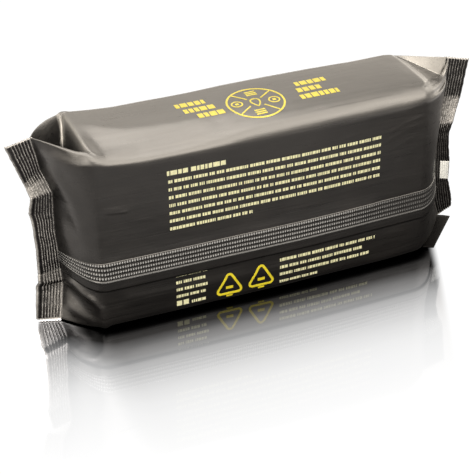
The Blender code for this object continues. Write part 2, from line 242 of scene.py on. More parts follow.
def panel_end(end, side, s):
    """The wide panel between the body (s 0) and the end seal (s 1)."""
    ys, zs = panel_start(end * RUN, side)
    a = np.stack([np.full(len(ROWS), end * RUN), ys, zs], axis=1)
    d = seal_at(end, ROWS)
    d[:, 1] += side * SEAL_SHEET / 2 * np.clip(np.minimum(16 - ROWS, ROWS + 1), 0, 1)
    d[:, 2] += 0.25 * np.clip(ROWS - 15, 0, 1) - 0.25 * np.clip(-ROWS, 0, 1)
    b = a + np.array([end * 8.5, 0, 0])
    c = d + np.array([-end * 3.0, side * 9.0, 0])
    top = smooth(ROWS - 14)[:, None]
    low = smooth(1 - ROWS)[:, None]
    b_top, c_top = lip_pull(end, 1, side, a, d)
    b_low, c_low = lip_pull(end, -1, side, a, d)
    b = b * (1 - top - low) + b_top * top + b_low * low
    c = c * (1 - top - low) + c_top * top + c_low * low
    out = bezier(a, b, c, d, s)
    if side < 0:
        # the free upper edge is rolled back
        share = np.clip((ROWS - 14.75) / 1.25, 0, 1) ** 2
        strength = ROLL[end] * float(smooth(s / 0.25) * smooth((1.0 - s) / 0.14))
        out[:, 1] += strength * share
        out[:, 2] -= 0.35 * strength * share
    return out


def narrow_end(end, up, s, lips, flank, middle):
    """The tucked narrow side between the body and the seal, given the two lips at s."""
    ys, zs, q, t = narrow_start(end * RUN, up, flank, middle)
    start = np.stack([np.full(len(ys), end * RUN), ys, zs], axis=1)
    (share, apex_x, apex_z), meet_z = TUCKS[(end, up)]
    foot = root_at(end, meet_z)
    knots = (0.0, 0.12, share, 1.0)
    centre = start[flank - 1: flank + middle]
    out = start.copy()
    spread = (np.arange(len(centre)) / (len(centre) - 1) - 0.5) * (1.5 if end < 0 and up > 0 else 0.6)
    mid = np.zeros_like(centre)
    mid[:, 0] = np.interp(s, knots, (end * RUN, end * 84.0, apex_x, foot[0]))
    for n, (x0, y0, z0) in enumerate(centre):
        mid[n, 1] = np.interp(s, knots, (y0, y0, spread[n] + foot[1] * share, foot[1]))
        mid[n, 2] = np.interp(s, knots, (z0, z0 - 0.2 if up > 0 else z0, apex_z, foot[2]))
    out[flank - 1: flank + middle] = mid
    fade = 1 - smooth(s / 0.4)
    lip0 = []
    for side in (-1, 1):
        y, z = panel_start(end * RUN, side)
        lip0.append(np.array([end * RUN, y[-1 if up > 0 else 0], z[-1 if up > 0 else 0]]))
    for n in range(flank - 1):
        straight0 = lip0[0] * (1 - q[n]) + centre[0] * q[n]
        out[n] = lips[0] * (1 - q[n]) + mid[0] * q[n] + (start[n] - straight0) * fade
        k = len(ys) - 1 - n
        straight0 = lip0[1] * (1 - q[n]) + centre[-1] * q[n]
        out[k] = lips[1] * (1 - q[n]) + mid[-1] * q[n] + (start[k] - straight0) * fade
    return out


ROLL = {-1: 2.4, 1: 1.1}
TOP_FLANK, TOP_MIDDLE = 14, 30
SOLE_FLANK, SOLE_MIDDLE = 6, 14


def ring_at(station):
    """Every point round one station, from the lower front lip up the front, over the top, down the back and under."""
    kind, value = station
    if kind == 0:
        x = value
        rings = []
        for side in (-1, 1):
            y, z = panel_start(x, side)
            rings.append(np.stack([np.full(len(y), x), y, z], axis=1))
        ty, tz, _, _ = narrow_start(x, 1, TOP_FLANK, TOP_MIDDLE)
        by, bz, _, _ = narrow_start(x, -1, SOLE_FLANK, SOLE_MIDDLE)
        top = np.stack([np.full(len(ty), x), ty, tz], axis=1)
        sole = np.stack([np.full(len(by), x), by, bz], axis=1)
    else:
        end, s = kind, value
        rings = [panel_end(end, side, s) for side in (-1, 1)]
        top = narrow_end(end, 1, s, (rings[0][-1], rings[1][-1]), TOP_FLANK, TOP_MIDDLE)
        sole = narrow_end(end, -1, s, (rings[0][0], rings[1][0]), SOLE_FLANK, SOLE_MIDDLE)
    return np.concatenate([rings[0], top, rings[1][::-1], sole[::-1]])


END_STEPS = [0.03, 0.06, 0.09, 0.12, 0.15, 0.18, 0.22, 0.26, 0.3, 0.34, 0.38, 0.42, 0.46, 0.5, 0.53, 0.56, 0.6,
             0.64, 0.68, 0.72, 0.76, 0.8, 0.84, 0.88, 0.92, 0.95, 0.98]
BODY_STEP = 1.25
N_FRONT = len(ROWS)
N_TOP = 2 * TOP_FLANK + TOP_MIDDLE - 1
N_SOLE = 2 * SOLE_FLANK + SOLE_MIDDLE - 1
N_RING = 2 * N_FRONT + N_TOP + N_SOLE


def add_object(name, points, faces, material, smooth_faces=True):
    mesh = bpy.data.meshes.new(name)
    mesh.from_pydata((np.asarray(points, float) * MM).tolist(), [], [list(map(int, f)) for f in faces])
    mesh.validate()
    mesh.materials.append(material)
    mesh.polygons.foreach_set("use_smooth", [smooth_faces] * len(mesh.polygons))
    mesh.update()
    made = bpy.data.objects.new(name, mesh)
    bpy.context.scene.collection.objects.link(made)
    return made


def set_painted_highlight(made, values):
    """How strongly each point of the mesh is painted pale as a highlight, 0 to 1."""
    layer = made.data.attributes.new("painted_highlight", "FLOAT", "POINT")
    layer.data.foreach_set("value", np.clip(np.asarray(values, float), 0, 1))


def face_out(points, faces):
    """The faces turned round if the closed surface they make is inside out."""
    p = np.asarray(points, float)
    total = 0.0
    for f in faces:
        for n in range(1, len(f) - 1):
            total += np.dot(p[f[0]], np.cross(p[f[n]], p[f[n + 1]]))
    return faces if total > 0 else [f[::-1] for f in faces]


def relax(points, faces, weight, rounds, factor=0.5):
    """Moves each point toward the mean of its neighbours, as far as its weight says."""
    edges = set()
    for f in faces:
        for n in range(len(f)):
            a, b = int(f[n - 1]), int(f[n])
            edges.add((min(a, b), max(a, b)))
    e = np.array(sorted(edges))
    p = points.copy()
    count = np.bincount(e.ravel(), minlength=len(p)).astype(float)
    for _ in range(rounds):
        total = np.zeros_like(p)
        for k in range(3):
            total[:, k] = np.bincount(e[:, 0], weights=p[e[:, 1], k], minlength=len(p)) + np.bincount(
                e[:, 1], weights=p[e[:, 0], k], minlength=len(p))
        p += (total / np.maximum(count, 1)[:, None] - p) * (factor * weight)[:, None]
    return p


# ---------------------------------------------------------------- creases and dents of the film
def film_mesh():
    stations = [(-1, s) for s in END_STEPS[::-1]]
    count = int(round(2 * RUN / BODY_STEP))
    stations += [(0, -RUN + BODY_STEP * n) for n in range(count + 1)]
    stations += [(1, s) for s in END_STEPS]
    rings = [ring_at((-1, 1.0))] + [ring_at(st) for st in stations] + [ring_at((1, 1.0))]
    rings = np.array(rings)
    n_st = len(rings)

    which = np.zeros(N_RING, int)  # 0 front, 1 top, 2 back, 3 sole
    which[N_FRONT:N_FRONT + N_TOP] = 1
    which[N_FRONT + N_TOP:2 * N_FRONT + N_TOP] = 2
    which[2 * N_FRONT + N_TOP:] = 3

    # the upper side's rise, eased in over the upper part
    x = rings[:, :, 0]
    z = rings[:, :, 2]
    rise = np.interp(x, [p[0] for p in TOP_RISE], [p[1] for p in TOP_RISE])
    rings[:, :, 2] += rise * smooth((z - 70) / 20) * (np.abs(x) < 86)

    # ids, with the tucks' two sides merged at the two seal roots
    ids = np.arange(n_st * N_RING).reshape(n_st, N_RING)
    for row in (0, n_st - 1):
        t0 = N_FRONT
        for n in range(N_TOP):
            m = N_TOP - 1 - n
            if m < n:
                ids[row, t0 + n] = ids[row, t0 + m]
        b0 = 2 * N_FRONT + N_TOP
        for n in range(N_SOLE):
            m = N_SOLE - 1 - n
            if m < n:
                ids[row, b0 + n] = ids[row, b0 + m]
        # the two lips of each narrow side meet at the seal's head and foot
        ids[row, N_FRONT + N_TOP] = ids[row, N_FRONT - 1]
        ids[row, 2 * N_FRONT + N_TOP - 1] = ids[row, 0]
    faces = []
    for i in range(n_st - 1):
        for k in range(N_RING):
            j = (k + 1) % N_RING
            quad = [ids[i, k], ids[i, j], ids[i + 1, j], ids[i + 1, k]]
            kept = [v for n, v in enumerate(quad) if v != quad[n - 1]]
            if len(set(kept)) >= 3:
                faces.append(kept)
    # the slot between the wide panels at each root
    for row, turn in ((0, 1), (n_st - 1, -1)):
        front = [ids[row, k] for k in range(N_FRONT)]
        back = [ids[row, 2 * N_FRONT + N_TOP - 1 - k] for k in range(N_FRONT)]
        for k in range(N_FRONT - 1):
            quad = [front[k], front[k + 1], back[k + 1], back[k]][::turn]
            kept = [v for n, v in enumerate(quad) if v != quad[n - 1]]
            if len(set(kept)) >= 3:
                faces.append(kept)
    points = rings.reshape(-1, 3).copy()
    used = np.unique(np.concatenate([np.array(f) for f in faces]))
    remap = -np.ones(len(points), int)
    remap[used] = np.arange(len(used))
    faces = [[int(remap[v]) for v in f] for f in faces]
    place = np.tile(which, n_st)[used]
    row_of = np.concatenate([ROWS, np.full(N_TOP, 99.0), ROWS[::-1], np.full(N_SOLE, -99.0)])
    row_of = np.tile(row_of, n_st)[used]
    station_of = np.repeat(np.arange(n_st), N_RING)[used]
    across = np.concatenate([np.zeros(N_FRONT), np.minimum(np.arange(N_TOP) + 1, N_TOP - np.arange(N_TOP)),
                             np.zeros(N_FRONT), np.minimum(np.arange(N_SOLE) + 1, N_SOLE - np.arange(N_SOLE))])
    across = np.tile(across, n_st)[used]
    points = points[used]
    at_root = np.minimum(station_of, n_st - 1 - station_of)

    # soft everywhere, rounder at the lips and at the folds of the narrow sides
    in_end = np.abs(points[:, 0]) > 80.5
    lip = np.where(place % 2 == 0, np.clip(1 - (16 - row_of) / 1.2, 0, 1) + np.clip(1 - (row_of + 1) / 1.2, 0, 1),
                   np.clip(1 - across / 5.0, 0, 1))
    held = np.clip(at_root / 3.0, 0, 1)
    points = relax(points, faces, held * np.where(in_end, 0.35 + 0.5 * np.clip(lip, 0, 1), 0.3), 6)
    return points, faces, place


def near_path(points, path, width):
    """How near each point is to a bent line in space: 1 on it, falling off over the width."""
    best = np.full(len(points), 1e9)
    for first, last in zip(path[:-1], path[1:]):
        first, last = np.array(first, float), np.array(last, float)
        t = np.clip(((points - first) @ (last - first)) / max(np.dot(last - first, last - first), 1e-9), 0, 1)
        best = np.minimum(best, np.linalg.norm(points - (first + t[:, None] * (last - first)), axis=1))
    return np.exp(-((best / width) ** 2))


def outward(points, faces):
    total = np.zeros_like(points)
    for f in faces:
        q = points[f]
        n = np.cross(q[2] - q[0], (q[3] if len(f) > 3 else q[1]) - q[1 if len(f) > 3 else 0])
        if len(f) == 3:
            n = np.cross(q[1] - q[0], q[2] - q[0])
        total[f] += n
    return total / np.maximum(np.linalg.norm(total, axis=1, keepdims=True), 1e-9)


# Raised and sunken folds of the front film: path, width, height outward
FOLDS = (
    # from the left seal's crease down to the body, and the furrow right of it
    (((-99.3, -4.2, 77.5), (-97.0, -7.0, 74.0), (-94.6, -11.0, 70.5), (-92.2, -14.0, 66.0), (-90.4, -16.6, 60.0), (-89.4, -18.0, 55.5)), 5.0, 0.42),
    (((-93.5, -12.0, 77.5), (-90.5, -16.0, 71.0), (-88.6, -18.6, 63.5), (-87.2, -20.0, 55.0), (-86.8, -20.3, 44.0)), 4.5, -0.35),
    # lower left, from under the fin out to the foot
    (((-95.0, -4.5, 19.5), (-92.6, -10.5, 20.0), (-89.7, -16.9, 17.2), (-86.8, -20.4, 15.0), (-84.3, -22.5, 11.5), (-83.4, -23.1, 6.0), (-82.8, -22.7, 1.5)), 2.0, 0.95),
    (((-94.0, -7.0, 13.0), (-90.5, -13.5, 10.0), (-87.0, -18.5, 6.5)), 3.4, -0.6),
    # a shallow dent in the left facet
    (((-93.4, -10.5, 52.0), (-91.0, -14.5, 44.0)), 5.0, -0.7),
    # faint wrinkles
    (((-87.0, -20.0, 65.2), (-80.0, -23.3, 63.4), (-73.0, -23.8, 62.4)), 0.5, 0.26),
    (((-87.0, -20.0, 63.4), (-79.0, -23.4, 61.6), (-70.0, -23.9, 60.6)), 0.5, 0.26),
    (((-88.0, -19.0, 61.5), (-80.0, -23.3, 59.4)), 0.55, 0.2),
    (((62.0, -23.2, 73.0), (70.0, -22.9, 75.6), (78.0, -22.2, 77.0)), 0.7, 0.16),
    (((60.0, -23.2, 68.0), (69.0, -22.9, 71.5), (75.0, -22.5, 72.5)), 0.7, 0.14),
    (((66.0, -23.0, 64.0), (76.0, -22.5, 67.5)), 0.8, 0.12),
    (((36.0, -24.3, 74.0), (44.0, -24.0, 76.5)), 0.8, 0.10),
    (((-64.0, -24.4, 55.0), (-56.0, -24.5, 53.6)), 0.7, 0.10),
    # the panel swells a little toward the fin's root
    (((-80.0, -23.4, 35.1), (-62.0, -24.4, 35.1), (-20.0, -24.9, 35.1), (30.0, -24.8, 35.1), (52.0, -24.5, 35.1)), 4.4, 0.5),
    # slack under the fin, along the pack
    (((-70.0, -24.5, 14.0), (-20.0, -24.9, 12.0), (30.0, -24.7, 13.0)), 3.5, 0.35),
)


# where the upper side starts to sag toward the front, along the pack
SAG_X = (-86.0, -80.0, -75.0, -70.0, -64.0, -57.0, -50.0, -40.0, -28.0, -15.0, 0.0, 15.0, 30.0)
SAG_BEGIN = (9.0, 7.6, 4.6, 0.6, -2.6, -4.6, -5.6, -6.2, -6.2, -5.0, -1.5, 2.5, 5.0)


def dents(points, faces, place):
    """Creases, dents and slack of the filled film, added outward from each side."""
    p = points.copy()
    n = outward(points, faces)
    d = np.zeros(len(p))
    body = smooth((96 - np.abs(points[:, 0])) / 16)
    d += (0.34 * noise3(points, 0.022, 3.1) + 0.16 * noise3(points, 0.06, 9.4)) * body
    d += 0.05 * noise3(points * np.array([0.35, 1, 1]), 0.22, 4.4) * body
    d[place == 1] *= 0.5 * smooth((84 - np.abs(points[place == 1, 0])) / 6)
    front = place == 0
    held = smooth((100.5 - np.abs(points[:, 0])) / 5)
    for path, width, height in FOLDS:
        d[front] += (near_path(points[front], path, width) * height * held[front])
    # the upper side sags toward the front, more at the left end
    top = points[:, 2] > 70
    begin = np.interp(points[:, 0], SAG_X, SAG_BEGIN)
    slope = smooth((begin - points[:, 1]) / (begin + 20)) * smooth((points[:, 2] - 82) / 9) * smooth((88 - np.abs(points[:, 0])) / 11)
    p[top, 2] -= (slope * (0.7 + 2.3 * smooth((5 - points[:, 0]) / 60)))[top]
    return p + n * d[:, None]


# ---------------------------------------------------------------- materials
def new_material(name, colour, roughness, coat=0.0, coat_roughness=0.2, ior=1.5, metallic=0.0):
    made = bpy.data.materials.new(name)
    made.use_nodes = True
    nodes = made.node_tree.nodes
    shader = nodes["Principled BSDF"]
    shader.inputs["Base Color"].default_value = (*colour, 1)
    shader.inputs["Roughness"].default_value = roughness
    shader.inputs["Metallic"].default_value = metallic
    shader.inputs["IOR"].default_value = ior
    shader.inputs["Coat Weight"].default_value = coat
    shader.inputs["Coat Roughness"].default_value = coat_roughness
    return made, made.node_tree, shader


def film_material(name="film", base=(0.0062, 0.0056, 0.0054), rough=0.32, scratch=1.0, gloss=0.5, painted_highlight=None):
    """Dark satin film: faint mottling, fine lengthwise scratches, and tiny waviness.
    Where a pale colour is given, the mesh's point attribute mixes it into the base colour as painted highlight."""
    made, tree, shader = new_material(name, base, rough, ior=1.55)
    shader.inputs["Specular IOR Level"].default_value = gloss
    nodes, links = tree.nodes, tree.links
    coord = nodes.new("ShaderNodeTexCoord")
    # mottled colour
    cloud = nodes.new("ShaderNodeTexNoise")
    cloud.inputs["Scale"].default_value = 45.0
    cloud.inputs["Detail"].default_value = 4.0
    links.new(coord.outputs["Object"], cloud.inputs["Vector"])
    ramp = nodes.new("ShaderNodeValToRGB")
    ramp.color_ramp.elements[0].position = 0.3
    ramp.color_ramp.elements[0].color = (base[0] * 0.6, base[1] * 0.6, base[2] * 0.62, 1)
    ramp.color_ramp.elements[1].position = 0.7
    ramp.color_ramp.elements[1].color = (base[0] * 1.5, base[1] * 1.45, base[2] * 1.38, 1)
    links.new(cloud.outputs["Fac"], ramp.inputs["Fac"])
    if painted_highlight is None:
        links.new(ramp.outputs["Color"], shader.inputs["Base Color"])
    else:
        # painted highlight: a pale colour mixed into the base colour by the mesh's point attribute
        pressed = nodes.new("ShaderNodeAttribute")
        pressed.attribute_name = "painted_highlight"
        highlight_mix = nodes.new("ShaderNodeMix")
        highlight_mix.data_type = "RGBA"
        highlight_mix.inputs[7].default_value = (*painted_highlight, 1)
        links.new(pressed.outputs["Fac"], highlight_mix.inputs[0])
        links.new(ramp.outputs["Color"], highlight_mix.inputs[6])
        links.new(highlight_mix.outputs[2], shader.inputs["Base Color"])
    # roughness, streaked along the pack
    stretch = nodes.new("ShaderNodeMapping")
    stretch.inputs["Scale"].default_value = (6.0, 60.0, 160.0)
    links.new(coord.outputs["Object"], stretch.inputs["Vector"])
    streak = nodes.new("ShaderNodeTexNoise")
    streak.inputs["Scale"].default_value = 6.0
    streak.inputs["Detail"].default_value = 5.0
    streak.inputs["Roughness"].default_value = 0.6
    links.new(stretch.outputs["Vector"], streak.inputs["Vector"])
    span = nodes.new("ShaderNodeMapRange")
    span.inputs["From Min"].default_value = 0.3
    span.inputs["From Max"].default_value = 0.7
    span.inputs["To Min"].default_value = rough - 0.06
    span.inputs["To Max"].default_value = rough + 0.07
    links.new(streak.outputs["Fac"], span.inputs["Value"])
    links.new(span.outputs["Result"], shader.inputs["Roughness"])
    # bump: scratches and a soft film texture
    soft = nodes.new("ShaderNodeTexNoise")
    soft.inputs["Scale"].default_value = 140.0
    soft.inputs["Detail"].default_value = 3.0
    links.new(coord.outputs["Object"], soft.inputs["Vector"])
    mix = nodes.new("ShaderNodeMath")
    mix.operation = "MULTIPLY_ADD"
    mix.inputs[1].default_value = 0.5
    links.new(streak.outputs["Fac"], mix.inputs[0])
    links.new(soft.outputs["Fac"], mix.inputs[2])
    bump = nodes.new("ShaderNodeBump")
    bump.inputs["Strength"].default_value = 0.34 * scratch
    bump.inputs["Distance"].default_value = 0.00035
    links.new(mix.outputs["Value"], bump.inputs["Height"])
    links.new(bump.outputs["Normal"], shader.inputs["Normal"])
    return made


def ink_material(name, colour, rough=0.42):
    """Printed ink: slightly uneven cover."""
    made, tree, shader = new_material(name, colour, rough, ior=1.45)
    nodes, links = tree.nodes, tree.links
    coord = nodes.new("ShaderNodeTexCoord")
    grain = nodes.new("ShaderNodeTexNoise")
    grain.inputs["Scale"].default_value = 900.0
    grain.inputs["Detail"].default_value = 2.0
    links.new(coord.outputs["Object"], grain.inputs["Vector"])
    ramp = nodes.new("ShaderNodeValToRGB")
    ramp.color_ramp.elements[0].position = 0.25
    ramp.color_ramp.elements[0].color = tuple(c * 0.82 for c in colour) + (1,)
    ramp.color_ramp.elements[1].position = 0.6
    ramp.color_ramp.elements[1].color = tuple(colour) + (1,)
    links.new(grain.outputs["Fac"], ramp.inputs["Fac"])
    links.new(ramp.outputs["Color"], shader.inputs["Base Color"])
    return made


# the pale colours given to these films are painted highlights
FILM = film_material(painted_highlight=(0.66, 0.62, 0.56))
SEAL_FILM = film_material("seal_film", base=(0.005, 0.0044, 0.0044), rough=0.24, scratch=0.5, gloss=0.34, painted_highlight=(0.72, 0.68, 0.63))
FIN_FILM = film_material("fin_film", rough=0.3, scratch=0.5, painted_highlight=(0.50, 0.49, 0.47))
# the folded corner's film is darker and far less reflective than the pack's, so that it stands for the shade under the
# right seal: painted shade
CORNER_SHADE_FILM = film_material("corner_film", base=(0.0022, 0.002, 0.002), rough=0.42, scratch=0.5, gloss=0.02)
LABEL_FILM = film_material("label_film", base=(0.008, 0.0073, 0.007), rough=0.26, scratch=0.4)
YELLOW = ink_material("yellow_ink", (0.86, 0.70, 0.03))
CREAM = ink_material("cream_ink", (0.90, 0.86, 0.52))
PALE = ink_material("pale_ink", (0.78, 0.77, 0.72))

# ---------------------------------------------------------------- the film body
film_points, film_faces, film_place = film_mesh()
film_points = film_points + SHIFT
film_faces = face_out(film_points, film_faces)
film_points = dents(film_points, film_faces, film_place)
# the left lip runs out softly into the front ridge
film_points = relax(film_points, film_faces, near_path(film_points, ((-87.8, -18.6, 89.1), (-85.5, -21.1, 88.4), (-82.2, -21.9, 88.1)), 4.5), 14)
film = add_object("film_body", film_points, film_faces, FILM)
LEFT_VALLEY = ((-86.3, 18.6, 92.2), (-86.0, 16.2, 88.6), (-86.4, 14.5, 86.2), (-87.0, 13.0, 84.0), (-87.8, 11.3, 81.9))
LEFT_TURN = ((-84.5, 16.9, 91.8), (-84.4, 9.5, 92.2), (-84.1, 2.9, 92.2), (-84.0, -2.8, 92.0), (-83.9, -8.3, 91.6), (-84.2, -13.4, 91.2))
# painted highlight on the rear flank of the right gusset
film_normal = outward(film_points, film_faces)
flank = smooth((-film_normal[:, 0] - 0.25) / 0.3) * smooth((film_points[:, 0] - 84) / 6) * smooth((film_points[:, 2] - 80) / 4)
# and painted highlights on the left gusset's valley line and, faintly, on the turn from its flank to the top
valley = near_path(film_points, LEFT_VALLEY, 0.5)
turn = near_path(film_points, LEFT_TURN, 3.6) * smooth((-film_normal[:, 0] - 0.05) / 0.4)
set_painted_highlight(film, np.maximum(0.58 * flank, np.maximum(0.95 * valley, 0.34 * turn)))
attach(film, "root")
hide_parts("film_pack")

film_tree = BVHTree.FromPolygons([Vector(p) for p in film_points], film_faces)


# ---------------------------------------------------------------- the end seals
def seal_mesh(end):
    """The crimped plate: ribs along it, fine serration across them, and a plain outer lip curled back."""
    step = 0.36
    rows = []
    edges = np.array(LEFT_SEAL if end < 0 else RIGHT_SEAL, float)
    for k in range(15):
        length = max(np.linalg.norm(edges[k + 1, 0] - edges[k, 0]), np.linalg.norm(edges[k + 1, 1] - edges[k, 1]))
        n = max(2, math.ceil(length / step))
        rows += [k + j / n for j in range(n)]
    rows = np.array(rows + [15.0])
    per_rib = 8
    cols = list(np.arange(0, RIB_COUNT * per_rib + 1) / (RIB_COUNT * per_rib) * RIBBED_SHARE)
    cols = np.array([-0.06, -0.03] + cols + [0.88, 0.90, 0.92, 0.94, 0.96, 0.98, 1.0])
    inner, outer = seal_at(end, rows, 0), seal_at(end, rows, 1)
    nr, nc = len(rows), len(cols)
    seed = 7.0 + end
    # the outer edge and the cut ends aren't quite straight
    ragged = 1 + 0.022 * noise3(np.stack([rows * 9.0, rows * 0, rows * 0], axis=1), 0.5, seed)
    spread = cols[None, :] * np.where(cols > 0.5, ragged[:, None], 1.0)
    grid = inner[:, None] * (1 - spread[..., None]) + outer[:, None] * spread[..., None]
    saw = np.abs(((cols * 11.5 * 0.8) % 1.0) - 0.5) * 2 - 0.5
    for n, (row, sign) in enumerate(((nr - 1, 1), (nr - 2, 0.5), (0, -1 if end > 0 else 0), (1, -0.5 if end > 0 else 0))):
        grid[row, :, 2] += sign * 0.45 * saw * (cols > 0)
    run = np.concatenate([[0], np.cumsum(np.linalg.norm(np.diff((inner + outer) / 2, axis=0), axis=1))])
    normal = np.cross(np.gradient(grid, axis=0), np.gradient(grid, axis=1))
    normal /= np.linalg.norm(normal, axis=2, keepdims=True)
    normal *= np.where(normal[..., 1:2] > 0, -1.0, 1.0)  # toward the fin side
    phase = cols / RIBBED_SHARE * RIB_COUNT
    ribbed = np.where((cols >= 0) & (cols <= RIBBED_SHARE), 1.0, 0.0)
    place = np.stack(np.meshgrid(run, cols * 11.5, indexing="ij"), axis=2)
    flat = np.concatenate([place.reshape(-1, 2), np.full((nr * nc, 1), seed)], axis=1)
    drift = noise3(flat * np.array([1.0, 0.3, 1]), 0.16, 1.3).reshape(nr, nc)
    grain = noise3(flat, 0.9, 5.1).reshape(nr, nc)
    wave = 0.24 * np.sin(2 * np.pi * phase[None, :] + 0.9 * drift)
    teeth = np.sin(2 * np.pi * (run[:, None] / 1.25) + 2.0 * drift + 1.2 * grain)
    # the serration is strong in some stretches and almost gone in others
    pressed = 0.45 + 0.55 * np.interp(rows, SERRATED[end][0], SERRATED[end][1])
    wave = wave + 0.07 * teeth * pressed[:, None] * (0.6 + 0.4 * np.cos(2 * np.pi * phase))[None, :]
    wave = wave + 0.05 * grain
    wave = wave * ribbed[None, :]
    half = SEAL_SHEET / 2 * np.where(cols > 0.97, 0.5, 0.85)[None, :]
    # painted highlights: pale rib crests, a pale outer edge and root crease, pale patches where the rows ask for them,
    # and pale cut ends
    highlight_level = np.interp(rows, HIGHLIGHT_ROWS[end][0], HIGHLIGHT_ROWS[end][1])[:, None]
    painted_highlight = smooth((np.sin(2 * np.pi * phase[None, :] + 0.9 * drift) - 0.62) / 0.34) * ribbed[None, :]
    painted_highlight = painted_highlight * np.clip(0.75 + 0.9 * grain + 0.22 * teeth * pressed[:, None], 0.1, 1) * np.clip(highlight_level * 1.2, 0, 1)
    edge = np.exp(-((cols - 0.98) / 0.035) ** 2)[None, :] * np.clip(0.8 + 0.4 * drift, 0.2, 1) * np.clip(highlight_level + 0.35, 0, 0.95)
    crease = np.exp(-((cols - 0.0) / 0.03) ** 2)[None, :] * np.clip(0.45 + 0.5 * drift, 0, 0.8) * np.clip(highlight_level + 0.2, 0, 0.9)
    edge = np.maximum(edge, crease)
    painted_highlight = np.maximum(np.maximum(painted_highlight, edge), 1.8 * np.clip(highlight_level - 0.72, 0, 1) * (0.75 + 0.5 * grain) * (0.4 + 0.6 * cols[None, :]))
    painted_highlight[[0, 1, nr - 2, nr - 1]] = np.maximum(painted_highlight[[0, 1, nr - 2, nr - 1]], 0.8)
    curl = np.clip((cols - RIBBED_SHARE - 0.02) / (0.98 - RIBBED_SHARE), 0, 1) ** 1.3 * CURL[end]
    front = grid + normal * (half + wave)[..., None]
    back = grid + normal * (-half + wave)[..., None]
    front[..., 1] += curl[None, :]
    back[..., 1] += curl[None, :]
    points = np.concatenate([front.reshape(-1, 3), back.reshape(-1, 3)])
    faces = []
    at = lambda side, i, j: side * nr * nc + i * nc + j
    for i in range(nr - 1):
        for j in range(nc - 1):
            faces.append([at(0, i, j), at(0, i, j + 1), at(0, i + 1, j + 1), at(0, i + 1, j)])
            faces.append([at(1, i, j), at(1, i + 1, j), at(1, i + 1, j + 1), at(1, i, j + 1)])
    for i in range(nr - 1):
        faces.append([at(0, i, 0), at(0, i + 1, 0), at(1, i + 1, 0), at(1, i, 0)])
        faces.append([at(0, i + 1, nc - 1), at(0, i, nc - 1), at(1, i, nc - 1), at(1, i + 1, nc - 1)])
    for j in range(nc - 1):
        faces.append([at(0, 0, j + 1), at(0, 0, j), at(1, 0, j), at(1, 0, j + 1)])
        faces.append([at(0, nr - 1, j), at(0, nr - 1, j + 1), at(1, nr - 1, j + 1), at(1, nr - 1, j)])
    return points + SHIFT, faces, np.concatenate([painted_highlight.reshape(-1), painted_highlight.reshape(-1)])


# Row against how strongly the rib crests are painted pale there, as highlight
HIGHLIGHT_ROWS = {
    -1: ((0, 2, 2.2, 4, 6.5, 9.5, 11.0, 11.2, 12.2, 12.7, 15), (0.6, 0.56, 0.52, 0.56, 0.68, 0.52, 0.46, 1.0, 0.95, 0.5, 0.55)),
    1: ((0, 4, 9, 10.5, 11, 12.6, 13.4, 15), (0.15, 0.12, 0.12, 0.25, 1.0, 0.95, 0.42, 0.45)),
}
# Row against how strongly the serration is pressed in there
SERRATED = {
    -1: ((0, 2, 2.2, 4, 8, 9.5, 11, 12.6, 13.4, 15), (0.8, 0.9, 0.2, 1.0, 1.0, 0.55, 0.3, 0.1, 0.25, 0.25)),
    1: ((0, 4, 9, 11, 12.6, 13.4, 15), (0.3, 0.2, 0.15, 0.1, 0.5, 0.2, 0.2)),
}
CURL = {-1: 0.9, 1: 1.0}
seals = {}
for end, name in ((-1, "left_end_seal"), (1, "right_end_seal")):
    points, faces, painted_highlight = seal_mesh(end)
    points[:, 2] = np.maximum(points[:, 2], 0.02)
    faces = face_out(points, faces)
    seal = add_object(name, points, faces, SEAL_FILM)
    set_painted_highlight(seal, painted_highlight)
    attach(seal, "root")
    seals[end] = (seal, BVHTree.FromPolygons([Vector(p) for p in points], faces))


# ---------------------------------------------------------------- the fin seal
def cast(tree, x, z, from_y=-80.0):
    hit = tree.ray_cast(Vector((x, from_y, z)), Vector((0, 1, 0)))
    return None if hit[0] is None else (np.array(hit[0]), np.array(hit[1]))


def fin_line(level_row, level_z):
    """One line along the fin from the left seal to the right one, as points in space."""
    pts = []
    for end in (-1, 1):
        a = np.array([end * RUN, -float(front_depth(end * RUN)), level_z])
        d = seal_at(end, np.array([level_row]))[0] - np.array([0, SEAL_SHEET / 2, 0])
        b = a + np.array([end * 8.5, 0, 0])
        c = d + np.array([-end * 3.0, -9.0, 0])
        part = [bezier(a, b, c, d, s) for s in np.linspace(0, 1, 60)]
        pts.append(part[::-1] if end < 0 else part)
    middle = [np.array([x, -float(front_depth(x)), level_z]) for x in np.arange(-79, 79.5, 1.0)]
    return np.array(pts[0][:-1] + [pts[0][-1]] + middle + pts[1])


